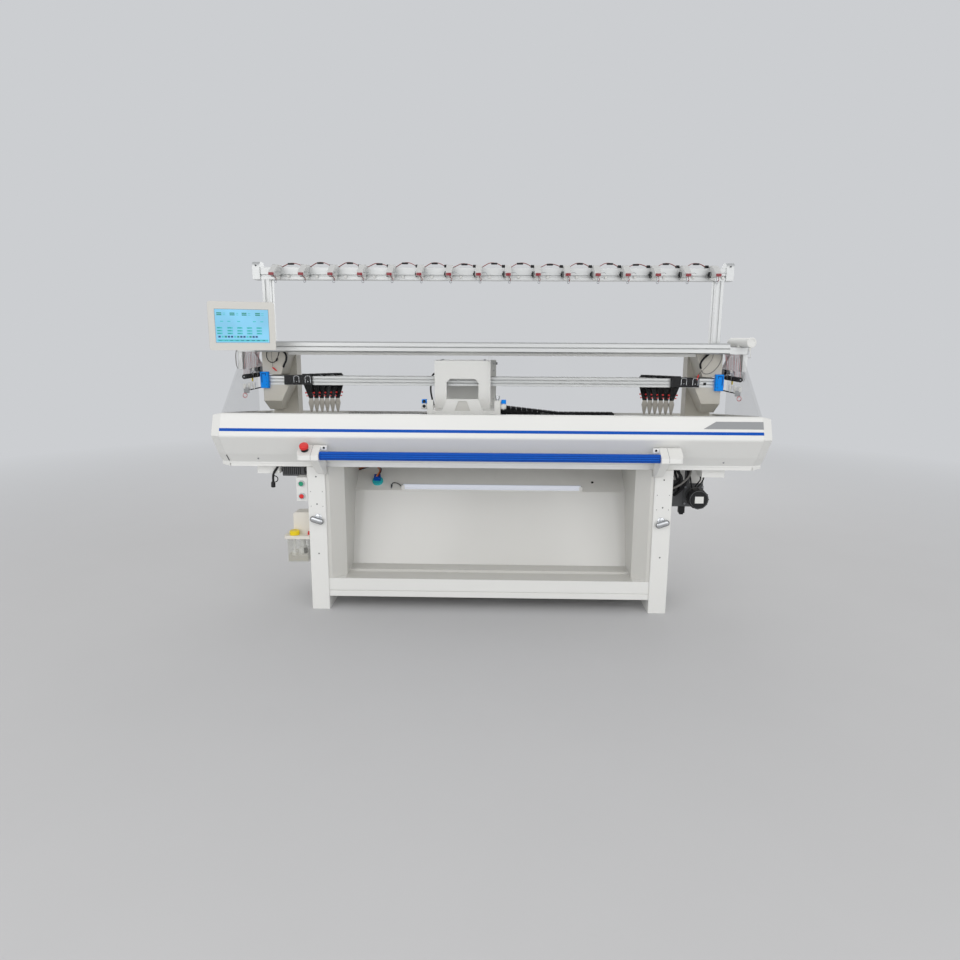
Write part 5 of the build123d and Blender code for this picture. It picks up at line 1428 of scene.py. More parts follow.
@dataclass
class Carriage:
    """Connectors, wires, knob and screws of the carriage."""

    left: float = -0.291
    right: float = 0.049
    plug_y: float = -0.094
    plug_z: float = 0.948
    plug_radius: float = 0.0142
    plug_length: float = 0.026
    horn_top: float = 0.977
    horn_y: float = -0.116
    bridge_left: float = -0.265
    bridge_right: float = 0.001
    bridge_top: float = 1.153
    cable_y: float = 0.168

    def build(self) -> None:
        """Makes the pieces."""
        plugs, clips = Shape(), Shape()
        radius, length = self.plug_radius, self.plug_length
        profile = [
            (0.0, radius), (0.01, radius), (0.011, radius * 1.25), (0.017, radius * 1.25), (0.018, radius),
            (length + 0.001, radius), (length + 0.001, radius * 0.7), (length - 0.004, 0.0),
        ]
        socket = [(0.0, 0.013), (0.01, 0.013), (0.012, 0.011), (0.012, 0.0)]
        for edge, way in ((self.left, -1), (self.right, 1)):
            plugs.lathe((edge, self.plug_y, self.plug_z), (way, 0, 0), profile, 24)
            plugs.lathe((edge + way * 0.014, self.plug_y - 0.012, self.plug_z), (0, -1, 0), socket, 24)
            near, far = sorted((edge + way * 0.003, edge + way * 0.026))
            clips.box(
                (near, self.plug_y - 0.014, self.plug_z + 0.012),
                (far, self.plug_y + 0.014, self.plug_z + 0.03), 0.003,
            )
        # Thin black discs paint the shade inside the plug sockets' holes.
        bore = [(0.0, 0.0078), (0.0004, 0.0078), (0.0004, 0.0)]
        bores = Shape().lathe((self.left - 0.014, self.plug_y - 0.024, self.plug_z), (0, -1, 0), bore, 20)
        bores.lathe((self.left - 0.0145, self.plug_y - 0.014, self.plug_z + 0.021), (0, -1, 0), bore, 20)
        bores.piece("carriage_plug_bore_shade", "carriage", BLACK)
        plugs.piece("carriage_plugs", "carriage", PALE)
        clips.piece("carriage_plug_clips", "carriage", AZURE)
        self.wires()
        self.knob()

    def wires(self) -> None:
        """Makes the coloured wires behind the horns and the cable at the bridge's left side."""
        for edge, way, side in ((self.left, -1, "left"), (self.right, 1, "right")):
            for index, (name, finish) in enumerate((("red", RED), ("yellow", YELLOW), ("black", BLACK))):
                low = self.plug_z - 0.006 + 0.006 * index
                route = [
                    (edge + way * 0.01, self.plug_y + 0.012, low),
                    (edge + way * 0.004, self.plug_y + 0.03, low + 0.012),
                    (edge - way * 0.018, self.plug_y + 0.036, low + 0.016),
                    (edge - way * 0.024, self.plug_y + 0.03, 0.927),
                ]
                lead(f"carriage_wire_{side}_{name}", "carriage", finish, 0.0036, route)
        root = (self.bridge_left, self.cable_y, 1.088)
        route = [
            root, (self.bridge_left - 0.024, self.cable_y, 1.088),
            (self.bridge_left - 0.034, self.cable_y, 1.04),
            (self.bridge_left - 0.036, self.cable_y - 0.006, 0.985),
            (self.bridge_left - 0.018, self.cable_y - 0.014, 0.927),
        ]
        lead("carriage_cable", "carriage", BLACK, 0.009, route)
        profile = [(0.0, 0.01), (0.006, 0.01), (0.008, 0.0075), (0.014, 0.006), (0.014, 0.0046)]
        gland = Shape().lathe(root, (-1, 0, 0), profile, 18)
        gland.piece("carriage_cable_gland", "carriage", BLACK)

    def knob(self) -> None:
        """Makes the chrome knob on the right horn and the bridge's screws."""
        knob = Shape()
        profile = [
            (0.0, 0.01), (0.003, 0.01), (0.004, 0.0075), (0.007, 0.0075),
            (0.008, 0.0105), (0.02, 0.0105), (0.022, 0.009), (0.022, 0.0),
        ]
        knob.lathe((self.right - 0.014, self.horn_y, self.horn_top), (0, 0, 1), profile, 24)
        knob.piece("carriage_knob", "carriage", CHROME)
        screws = Shape()
        for across in (self.bridge_left + 0.03, self.bridge_right - 0.03):
            for depth in (0.03, 0.14):
                screws.screw((across, depth, self.bridge_top), (0, 0, 1), 0.005)
        for height in (0.96, 1.1, 1.135):
            screws.screw((0.014, 0.178, height), (0, -1, 0), 0.004)
        stud = [(0.0, 0.006), (0.006, 0.006), (0.007, 0.004), (0.007, 0.0)]
        screws.lathe((0.027, 0.17, 1.136), (1, 0, 0), stud, 14)
        screws.piece("carriage_screws", "carriage", STEEL)


@dataclass
class DragChain:
    """Links of the drag chain: one run in the trough, one up to the carriage."""

    front: float = 0.352
    back: float = 0.386
    lower_z: float = 0.8483
    height: float = 0.015
    left: float = -0.762
    right: float = 0.64
    bend: float = 0.36
    top_start: float = 0.8783
    arm_x: float = 0.0493
    arm_top: float = 0.912
    link: float = 0.029
    wall: float = 0.003
    carrier_end: float = 0.262

    def build(self) -> None:
        """Makes both runs and the sloping carrier on the carriage."""
        lower = Shape()
        self.run(lower, (self.left, self.lower_z), (self.right, self.lower_z))
        laid = lower.piece("drag_chain_lower", "frame", CHAIN)
        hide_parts("drag_chain")
        upper = Shape()
        self.run(upper, (self.right, self.top_start - self.height), (self.bend, self.top_start - self.height))
        self.run(upper, (self.bend, self.top_start - self.height), (self.arm_x, self.arm_top - self.height))
        self.turn_round(upper)
        hung = upper.loose("drag_chain_upper", CHAIN)
        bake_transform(hung)
        low = self.lower_z + self.height + 0.003
        slope = [
            (self.arm_x, low), (self.carrier_end, low),
            (self.carrier_end, low + 0.008), (self.arm_x, self.arm_top - 0.013),
        ]
        carrier = Shape().prism(slope, Axis.Y, self.front + 0.002, self.back - 0.002, 0.001)
        carrier.piece("drag_chain_carrier", "carriage", CHAIN)

    def run(self, shape: Shape, start: Flat, end: Flat) -> None:
        """Adds a straight run of links.

        Args:
            shape: Where to add them.
            start: X and the bottom's Z at the first link.
            end: X and the bottom's Z at the last link.
        """
        first, last = Vector(start), Vector(end)
        count = max(1, round((last - first).length / self.link))
        for index in range(count):
            near = first + (last - first) * (index / count)
            far = first + (last - first) * ((index + 0.94) / count)
            if near.x > far.x:
                near, far = far, near
            for side in (self.front, self.back - self.wall):
                outline = [
                    (near.x, near.y + 0.003), (near.x + 0.003, near.y),
                    (far.x - 0.003, far.y), (far.x, far.y + 0.003),
                    (far.x, far.y + self.height - 0.003), (far.x - 0.003, far.y + self.height),
                    (near.x + 0.003, near.y + self.height), (near.x, near.y + self.height - 0.003),
                ]
                shape.prism(outline, Axis.Y, side, side + self.wall, 0.0004)
            middle = (near + far) / 2
            for rise in (0.0, self.height - 0.002):
                low = middle.y + rise
                shape.box(
                    (middle.x - 0.007, self.front, low), (middle.x + 0.007, self.back, low + 0.002), 0.0004
                )

    def turn_round(self, shape: Shape) -> None:
        """Adds the end link where the chain turns back."""
        middle = self.lower_z + self.height
        turns = [math.pi * (step / 8 - 0.5) for step in range(9)]
        arc = [(self.right + 0.012 * math.cos(turn), middle + self.height * math.sin(turn)) for turn in turns]
        for side in (self.front, self.back - self.wall):
            shape.prism(arc, Axis.Y, side, side + self.wall)
        near, far = self.right + 0.006, self.right + 0.01
        shape.box((near, self.front, middle - 0.006), (far, self.back, middle + 0.006), 0.0005)


@dataclass
class Feeders:
    """Caps, wire clips, arm plates and red knobs of the yarn feeders, and the marks on rail and stops."""

    tracks: int = 6
    slider_low: float = 1.033
    cap_rise: float = 0.007
    cap_reach: float = 0.046
    clip_half: float = 0.0125
    clip_bends: tuple[Flat, ...] = (
        (-1.0, 0.01), (-1.0, 0.034), (-0.8, 0.041), (0.0, 0.043), (0.8, 0.041), (1.0, 0.034), (1.0, 0.01)
    )
    clip_radius: float = 0.0016
    arm_top: float = 1.0335
    arm_foot: float = 0.9665
    arm_top_half: float = 0.021
    arm_foot_half: float = 0.0105
    knobs: tuple[Flat, ...] = ((0.174, 0.0029), (0.406, 0.0042))
    stop_x: float = 1.088
    stop_front: float = 0.012
    stop_z: float = 1.056
    mark_depth: float = 0.0005

    def build(self) -> None:
        """Makes the fittings of each feeder on its own body, then the marks."""
        for side, name in SIDES:
            for track in range(self.tracks):
                self.fittings(f"{name}_feeder_{track + 1}", side, track)
        self.marks()

    def fittings(self, feeder: str, side: int, track: int) -> None:
        """Makes one feeder's cap, clips, arm plate and knobs.

        Args:
            feeder: Name of its body and node.
            side: -1 for the left, 1 for the right.
            track: Which rail face it runs on.
        """
        low, high = part_box(feeder, lambda spot: spot.z > self.slider_low)
        outward = 1 if track % 2 else -1
        face = (high.y if outward > 0 else low.y) + outward * self.clip_radius * 0.6
        inner = high.x if side < 0 else low.x
        near, far = sorted((inner + side * 0.004, inner + side * self.cap_reach))
        cap = Shape().box(
            (near, low.y + 0.002, high.z - 0.0005), (far, high.y - 0.002, high.z + self.cap_rise), 0.0015
        )
        cap.piece(f"{feeder}_cap", feeder, BLACK)
        clips = Shape()
        corners = [(self.clip_half * across, up) for across, up in self.clip_bends]
        for share in (0.45, 0.86):
            middle = low.x + (high.x - low.x) * share
            path = [Vector((middle + across, face, low.z + up)) for across, up in corners]
            clips.tube(path, self.clip_radius, 8)
            clips.screw((middle, face - outward * 0.001, low.z + 0.016), (0, outward, 0), 0.0028)
        clips.piece(f"{feeder}_clips", feeder, CHROME)
        root, foot = self.arm_plate(feeder)
        knobs = Shape()
        for share, radius in self.knobs:
            spot = foot + (root - foot) * share
            half = self.arm_foot_half + (self.arm_top_half - self.arm_foot_half) * share - 0.001
            profile = [
                (0.0, radius * 0.6), (0.0035, radius * 0.6), (0.004, radius), (0.009, radius), (0.01, 0.0)
            ]
            for way in (-1, 1):
                knobs.lathe((spot.x + way * half, spot.y, spot.z), (way, 0, 0), profile, 12)
        knobs.piece(f"{feeder}_knobs", feeder, RED)

    def arm_plate(self, feeder: str) -> tuple[Vector, Vector]:
        """Makes the tapering plate on a feeder's arm.

        Args:
            feeder: Name of its body and node.

        Returns:
            The middles of the arm's root and foot.
        """
        slider = part_box(feeder, lambda spot: spot.z > self.arm_top + 0.003)
        foot = part_box(feeder, lambda spot: abs(spot.z - 0.965) < 0.002)
        root = part_box(
            feeder,
            lambda spot: abs(spot.z - 1.034) < 0.001 and slider[0].x + 0.002 < spot.x < slider[1].x - 0.002,
        )
        plate = Shape()
        rings = []
        for box, height, half in (
            (root, self.arm_top, self.arm_top_half), (foot, self.arm_foot, self.arm_foot_half)
        ):
            middle = (box[0].x + box[1].x) / 2
            near, far = box[0].y + 0.0002, box[1].y - 0.0002
            ring = [(middle - half, near), (middle + half, near), (middle + half, far), (middle - half, far)]
            rings.append([plate.mesh.verts.new((across, back, height)) for across, back in ring])
        plate.skin(rings)
        plate.piece(f"{feeder}_arm_plate", feeder, BLACK)
        return (root[0] + root[1]) / 2, (foot[0] + foot[1]) / 2

    def marks(self) -> None:
        """Makes dark blue patches that paint the shade in the slots and small holes of the blue stops, and
        the dark mark on the front rail.
        """
        slots = Shape()
        bars = (
            ((0.009, -0.012), (0.0125, 0.028)), ((-0.01, 0.028), (0.0125, 0.0315)),
            ((-0.01, 0.02), (-0.007, 0.028)),
        )
        rim = [(0.0, 0.002), (self.mark_depth, 0.002), (self.mark_depth, 0.0)]
        for side, _ in SIDES:
            for low, high in bars:
                near, far = sorted((side * (self.stop_x + low[0]), side * (self.stop_x + high[0])))
                slots.box(
                    (near, self.stop_front - self.mark_depth, self.stop_z + low[1]),
                    (far, self.stop_front + 0.001, self.stop_z + high[1]), 0.0003,
                )
            for up in (-0.022, -0.006, 0.01):
                spot = (side * (self.stop_x - 0.011), self.stop_front, self.stop_z + up)
                slots.lathe(spot, (0, -1, 0), rim, 12)
        slots.piece("rail_stop_slot_shade", "frame", SLOT_SHADE_BLUE)
        mark = Shape().box((1.016, 0.0339, 1.043), (1.03, 0.0345, 1.056), 0.0)
        mark.piece("rail_mark", "frame", BLACK)


@dataclass
class SideTension:
    """Disc rows, springs, clear tubes and funnels of the side tensioners, and the cables at the towers."""

    stub_count: int = 6
    bar_front: float = 0.04
    bar_depth: float = 0.13
    stub_z: float = 1.105
    stub_root: float = 1.112
    stub_end: float = 1.154
    stub_radius: float = 0.0072
    table_low: float = 1.19
    rod_x: float = 1.162
    rod_z: float = 1.074
    rod_front: float = -0.052
    rod_back: float = 0.172
    rod_radius: float = 0.003
    row_count: int = 11
    row_pitch: float = 0.0205
    tube_count: int = 8
    tube_radius: float = 0.0042
    stay_foot: Point = (1.0995, 0.045, 1.022)
    stay_end: Point = (1.172, -0.028, 1.006)

    def build(self) -> None:
        """Makes both sides."""
        step = self.bar_depth / self.stub_count
        for side, name in SIDES:
            discs, rims, springs, tubes, threads = Shape(), Shape(), Shape(), Shape(), Shape()
            for index in range(self.stub_count):
                depth = self.bar_front + step * (index + 0.5)
                self.stub(discs, rims, springs, side, depth)
                top = (side * (1.106 + 0.006 * index), 0.02 + 0.003 * index, self.table_low - 0.0005)
                self.clear_tube(
                    tubes, threads, top, (side * (self.stub_end - 0.02), depth, self.stub_z + 0.0095)
                )
            for index in range(self.tube_count):
                top = (side * (1.172 - 0.007 * index), 0.018 + 0.004 * (index % 4), self.table_low - 0.0005)
                foot = (
                    side * (self.rod_x + 0.006), self.rod_front + 0.02 + 0.026 * index, self.rod_z + 0.0105
                )
                self.clear_tube(tubes, threads, top, foot)
            self.row(discs, rims, springs, side)
            self.funnels(rims, threads, side, name)
            discs.piece(f"{name}_tension_discs", "frame", BLACK)
            rims.piece(f"{name}_tension_caps", "frame", PALE)
            springs.piece(f"{name}_tension_springs", "frame", STEEL)
            tubes.piece(f"{name}_yarn_tubes", "frame", CLEAR_TUBE)
            threads.piece(f"{name}_yarn_threads", "frame", THREAD)
        self.left_leads()
        self.right_leads()

    def stub(self, discs: Shape, rims: Shape, springs: Shape, side: int, depth: float) -> None:
        """Adds the discs, cap and spring of one stub.

        Args:
            discs: Shape of the disc pairs.
            rims: Shape of the caps.
            springs: Shape of the springs.
            side: -1 for the left, 1 for the right.
            depth: Where the stub is along Y.
        """
        root = (side * (self.stub_root + 0.006), depth, self.stub_z)
        radius = self.stub_radius
        pair = [(0.0, radius), (0.001, 0.0135), (0.003, 0.0095), (0.005, 0.0135), (0.006, radius)]
        discs.lathe(root, (side, 0, 0), pair, 20)
        cap = [(0.0, radius), (0.001, 0.0095), (0.01, 0.0095), (0.012, 0.007), (0.012, 0.0)]
        rims.lathe((side * (self.stub_end - 0.011), depth, self.stub_z), (side, 0, 0), cap, 18)
        near, far = side * (self.stub_root + 0.014), side * (self.stub_end - 0.012)
        springs.tube(coil_path((near, depth, self.stub_z), (far, depth, self.stub_z), 0.0086, 5), 0.0009, 6)

    def row(self, discs: Shape, rims: Shape, springs: Shape, side: int) -> None:
        """Adds the rod under the stubs with its row of disc pairs and caps, and the arms that hold it.

        Args:
            discs: Shape of the disc pairs.
            rims: Shape of the caps.
            springs: Shape of the rod and its arms.
            side: -1 for the left, 1 for the right.
        """
        middle, radius = side * self.rod_x, self.rod_radius
        ends = [Vector((middle, depth, self.rod_z)) for depth in (self.rod_front, self.rod_back)]
        springs.tube(ends, radius)
        pair = [
            (0.0, radius), (0.0008, 0.0115), (0.0024, 0.0115), (0.004, 0.006),
            (0.0056, 0.0115), (0.0072, 0.0115), (0.008, radius),
        ]
        cap = [(0.0, radius), (0.0005, 0.0085), (0.006, 0.0075), (0.0065, radius)]
        for index in range(self.row_count):
            depth = self.rod_front + 0.004 + self.row_pitch * index
            discs.lathe((middle, depth, self.rod_z), (0, 1, 0), pair, 18)
            rims.lathe((middle, depth + 0.009, self.rod_z), (0, 1, 0), cap, 14)
        step = self.bar_depth / self.stub_count
        near, far = sorted((side * (self.stub_end - 0.002), side * (self.rod_x + 0.004)))
        for index in (0, 3, 5):
            depth = self.bar_front + step * (index + 0.5)
            springs.box(
                (near, depth - 0.003, self.rod_z - 0.004), (far, depth + 0.003, self.stub_z + 0.004), 0.0008
            )

    def clear_tube(self, tubes: Shape, threads: Shape, top: Point, foot: Point) -> None:
        """Adds a clear yarn tube from the table's underside to a disc pair, and the yarn beside it.

        Args:
            tubes: Shape of the tubes.
            threads: Shape of the yarn.
            top: Where the tube hangs.
            foot: Where it ends.
        """
        tubes.tube([Vector(top), Vector(foot)], self.tube_radius, 10)
        sag = (Vector(top) + Vector(foot)) / 2 + Vector((0.0, -0.006, -0.004))
        threads.tube([Vector(top), sag, Vector(foot)], 0.0011, 6)

    def funnels(self, rims: Shape, threads: Shape, side: int, name: str) -> None:
        """Makes the stay at the tower with its white funnels, grey plate, skein of yarn and yellow tag.

        Args:
            rims: Shape of the white pieces.
            threads: Shape of the yarn.
            side: -1 for the left, 1 for the right.
            name: The side's name.
        """
        foot = Vector((side * self.stay_foot[0], *self.stay_foot[1:]))
        end = Vector((side * self.stay_end[0], *self.stay_end[1:]))
        Shape().tube([foot, end], 0.0028).piece(f"{name}_yarn_stay", "frame", BLACK)
        cone = [
            (0.0, 0.0036), (0.006, 0.004), (0.013, 0.0078), (0.032, 0.009),
            (0.032, 0.007), (0.014, 0.003), (0.014, 0.0),
        ]
        for share in (0.52, 0.74, 0.97):
            rims.lathe(tuple(foot + (end - foot) * share), (0, 0, 1), cone, 16)
        across = sorted((end.x + side * 0.002, end.x - side * 0.024))
        plate = Shape().box((across[0], end.y - 0.004, 0.996), (across[1], end.y - 0.001, 1.022), 0.001)
        plate.piece(f"{name}_yarn_plate", "frame", MID)
        for index in range(3):
            middle = (end.x - side * 0.004, end.y - 0.0055 - 0.0015 * index, 0.9865 - 0.001 * index)
            threads.tube(ring_path(middle, 0.01, Vector((1, 0, 0)), Vector((0, 0, 1))), 0.0012, 6, True)
        across = sorted((side * (self.rod_x - 0.002), side * (self.rod_x + 0.002)))
        tag = Shape().box(
            (across[0], 0.0565, self.rod_z - 0.028), (across[1], 0.0695, self.rod_z + 0.001), 0.0006
        )
        tag.piece(f"{name}_yarn_tag", "frame", YELLOW)

    def red_tip(self, name: str, start: Point, way: Point) -> None:
        """Makes the red plug at the end of a lead."""
        profile = [
            (-0.004, 0.0), (-0.003, 0.0022), (0.004, 0.0036), (0.018, 0.0034), (0.024, 0.0014), (0.024, 0.0)
        ]
        Shape().lathe(start, way, profile, 12).piece(name, "frame", RED)

    def left_leads(self) -> None:
        """Makes the cables in front of the left tower and the wires outside its hanger."""
        hang = self.table_low - 0.0005
        loop = [
            (-1.072, 0.028, hang), (-1.075, 0.018, 1.172), (-1.064, 0.014, 1.146), (-1.042, 0.012, 1.136),
            (-1.022, 0.014, 1.15), (-1.016, 0.02, 1.174), (-1.014, 0.028, hang),
        ]
        lead("left_tower_loop", "frame", BLACK, 0.0042, loop)
        profile = [(0.0, 0.0), (0.0, 0.0048), (0.015, 0.0048), (0.016, 0.0)]
        plug = Shape().lathe((-1.026, 0.0138, 1.146), (0.45, 0.0, 0.9), profile, 12)
        plug.piece("left_tower_loop_plug", "frame", BLACK)
        drop = [
            (-1.05, 0.027, hang), (-1.05, 0.02, 1.17), (-1.047, 0.022, 1.14), (-1.0465, 0.024, 1.114)
        ]
        lead("left_tower_lead", "frame", WIRE_GREY, 0.0022, drop)
        self.red_tip("left_tower_lead_tip", drop[-1], (0.75, 0.05, -0.65))
        thick = [
            (-0.99, 0.026, hang), (-0.976, 0.018, 1.178), (-0.976, 0.013, 1.15), (-0.99, 0.02, 1.13),
            (-0.998, 0.0345, 1.118),
        ]
        lead("left_tower_cable", "frame", BLACK, 0.01, thick)
        for index in range(2):
            shift = 0.004 * index
            route = [
                (-1.2046, -0.012 + shift, 1.2), (-1.2105, -0.014 + shift, 1.18),
                (-1.211 + shift, -0.014, 1.14), (-1.209, -0.006, 1.112), (-1.2046, 0.006 + shift, 1.109),
            ]
            lead(f"left_hanger_wire_{index + 1}", "frame", WIRE_GREY, 0.0022, route)

    def right_leads(self) -> None:
        """Makes the cables in front of the right tower and the wires under its hanger."""
        hang = self.table_low - 0.0005
        thick = [
            (1.03, 0.026, hang), (1.012, 0.016, 1.178), (0.992, 0.013, 1.152), (0.992, 0.022, 1.134),
            (1.0, 0.0345, 1.124),
        ]
        lead("right_tower_cable", "frame", BLACK, 0.01, thick)
        loop = [
            (1.094, 0.028, hang), (1.092, 0.016, 1.166), (1.07, 0.012, 1.125), (1.042, 0.012, 1.1),
            (1.016, 0.014, 1.096), (1.004, 0.022, 1.106), (1.002, 0.0345, 1.116),
        ]
        lead("right_tower_loop", "frame", WIRE_GREY, 0.0042, loop)
        drop = [
            (1.052, 0.027, hang), (1.05, 0.018, 1.172), (1.02, 0.016, 1.128), (0.994, 0.018, 1.106),
            (0.987, 0.02, 1.092),
        ]
        lead("right_tower_lead", "frame", WIRE_GREY, 0.0026, drop)
        self.red_tip("right_tower_lead_tip", drop[-1], (-0.25, 0.0, -0.95))
        for index in range(3):
            across = 1.186 + 0.007 * index
            route = [
                (across, 0.012, 1.1074), (across + 0.001, 0.006, 1.09), (across + 0.002, 0.006, 1.074),
                (across, 0.018, 1.062), (across - 0.002, 0.03, 1.074), (across - 0.001, 0.032, 1.09),
                (across, 0.028, 1.1074),
            ]
            lead(f"right_hanger_wire_{index + 1}", "frame", WIRE_GREY, 0.0022, route)


@dataclass
class Drives:
    """Motor details, brackets, hoses and cables under the beam."""

    motor_x: float = 0.975
    motor_z: float = 0.527
    motor_front: float = -0.165
    motor_radius: float = 0.042

    def build(self) -> None:
        """Makes the pieces."""
        self.takedown()
        self.hoses()
        self.racking()

    def takedown(self) -> None:
        """Makes the motor's end bell, its bare plate and its screws."""
        bell, radius, reach = Shape(), self.motor_radius, self.motor_radius + 0.004
        profile = [
            (-0.05, radius), (-0.05, reach), (-0.006, reach),
            (0.0, radius - 0.002), (0.004, radius - 0.006), (0.004, 0.0),
        ]
        bell.lathe((self.motor_x, self.motor_front, self.motor_z), (0, -1, 0), profile, 36)
        for index in range(12):
            angle = 2 * math.pi * index / 12
            across, up = self.motor_x + reach * math.cos(angle), self.motor_z + reach * math.sin(angle)
            spot = (across, self.motor_front + 0.05, up)
            bell.lathe(spot, (0, -1, 0), [(0.0, 0.0024), (0.044, 0.0024), (0.046, 0.0)], 6)
        bell.piece("takedown_motor_bell", "frame", BLACK)
        plate = Shape().box(
            (self.motor_x - 0.02, self.motor_front - 0.0052, self.motor_z - 0.016),
            (self.motor_x + 0.02, self.motor_front - 0.0038, self.motor_z + 0.016), 0.0004,
        )
        plate.piece("takedown_motor_plate", "frame", PALE)
        screws = Shape()
        for across in (-1, 1):
            for up in (-1, 1):
                spot = (self.motor_x + across * 0.04, -0.068, self.motor_z + up * 0.04)
                screws.screw(spot, (0, -1, 0), 0.005)
        screws.piece("takedown_motor_screws", "frame", STEEL)

    def hoses(self) -> None:
        """Makes the hoses and cables in front of the gear housing."""
        routes = {
            "hose_1": (BLACK, 0.011, [
                (0.872, -0.066, 0.6795), (0.874, -0.078, 0.65), (0.888, -0.088, 0.61),
                (0.9, -0.078, 0.57), (0.905, -0.0605, 0.56),
            ]),
            "hose_2": (BLACK, 0.011, [
                (0.89, -0.066, 0.6795), (0.892, -0.09, 0.65), (0.9, -0.1, 0.62),
                (0.884, -0.09, 0.58), (0.878, -0.0605, 0.56),
            ]),
            "hose_3": (WIRE_GREY, 0.009, [
                (0.95, -0.066, 0.6795), (0.95, -0.108, 0.655), (0.93, -0.116, 0.615),
                (0.89, -0.108, 0.58), (0.862, -0.088, 0.56), (0.856, -0.0605, 0.548),
            ]),
            "hose_4": (BLACK, 0.014, [
                (0.88, -0.084, 0.67), (0.884, -0.104, 0.65), (0.908, -0.114, 0.616),
                (0.892, -0.1, 0.578), (0.872, -0.0605, 0.552),
            ]),
            "hose_5": (BLACK, 0.014, [
                (0.934, -0.084, 0.67), (0.938, -0.104, 0.645), (0.926, -0.112, 0.606),
                (0.906, -0.098, 0.556), (0.886, -0.0605, 0.526),
            ]),
            "cable_1": (BLACK, 0.006, [
                (0.985, -0.066, 0.6795), (0.986, -0.098, 0.65), (0.996, -0.106, 0.612),
                (0.98, -0.1, 0.59), (0.975, -0.088, 0.5735),
            ]),
            "cable_2": (BLACK, 0.006, [
                (1.008, -0.066, 0.6795), (1.01, -0.094, 0.655), (1.012, -0.098, 0.62),
                (1.0, -0.104, 0.596), (0.985, -0.092, 0.5725),
            ]),
            "cable_3": (BLACK, 0.007, [
                (0.925, -0.066, 0.6795), (0.926, -0.098, 0.655), (0.944, -0.108, 0.628),
                (0.952, -0.098, 0.59), (0.958, -0.09, 0.5695),
            ]),
        }
        for name, (finish, diameter, route) in routes.items():
            lead(f"drive_{name}", "frame", finish, diameter, route)
        clamps = Shape()
        for across in (0.881, 0.95, 0.996):
            clamps.box((across - 0.022, -0.1, 0.6745), (across + 0.022, -0.0605, 0.6798), 0.0015)
        clamps.piece("drive_hose_clamps", "frame", BLACK)
        # The covers take the lightened grey, painted light against the shade under the beam.
        panels = Shape()
        panels.box((0.8505, -0.0625, 0.6), (0.93, -0.0602, 0.67), 0.001)
        panels.box((0.955, -0.0625, 0.585), (1.016, -0.0602, 0.672), 0.001)
        panels.piece("drive_covers", "frame", LIGHTENED_GREY)
        bar = Shape().box((0.862, -0.1, 0.6695), (1.046, -0.064, 0.6798), 0.002)
        bar.box((0.912, -0.064, 0.438), (0.94, -0.036, 0.4705), 0.002)
        bar.box((0.917, -0.06, 0.43), (0.935, -0.04, 0.44), 0.002)
        bar.piece("drive_cable_bar", "frame", BLACK)
        fittings = Shape()
        nut = [(0.0, 0.011), (0.006, 0.011), (0.007, 0.008), (0.016, 0.008), (0.018, 0.0055), (0.018, 0.0)]
        for across, up in ((0.866, 0.64), (0.868, 0.618), (0.905, 0.56), (0.878, 0.556), (0.866, 0.498)):
            fittings.lathe((across, -0.0602, up), (0, -1, 0), nut, 6)
        fittings.piece("drive_fittings", "frame", BLACK)

    def racking(self) -> None:
        """Makes the racking motor's ribs and the loop of its cable."""
        low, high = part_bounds("racking_motor")
        ribs = Shape()
        for index in range(9):
            across = low.x + 0.01 + 0.009 * index
            corner = (across + 0.003, low.y + 0.0005, high.z - 0.003)
            ribs.box((across, low.y - 0.0025, low.z + 0.008), corner, 0.0008)
        ribs.piece("racking_motor_ribs", "frame", BLACK)
        depth = low.y - 0.038
        route = [
            (-0.973, depth, 0.6795), (-0.975, depth, 0.67), (-0.988, depth, 0.655), (-0.9975, depth, 0.636),
            (-0.9985, depth, 0.614), (-0.999, depth, 0.597),
        ]
        plug = Shape()
        sleeve = [(0.0, 0.0), (0.0, 0.007), (0.004, 0.0095), (0.024, 0.01), (0.027, 0.0075), (0.027, 0.0)]
        plug.lathe((-0.9989, depth, 0.603), (-0.03, 0, -1), sleeve, 16)
        ends = plug.piece("racking_cable_plug", "frame", BLACK)
        lead("racking_cable", "frame", BLACK, 0.0105, route)
        loop = [
            (-0.9935, depth, 0.631), (-0.986, depth - 0.002, 0.63), (-0.976, depth - 0.002, 0.622),
            (-0.976, depth - 0.002, 0.61), (-0.984, depth - 0.002, 0.602), (-0.9935, depth, 0.6),
        ]
        lead("racking_cable_tail", "frame", BLACK, 0.0045, loop)


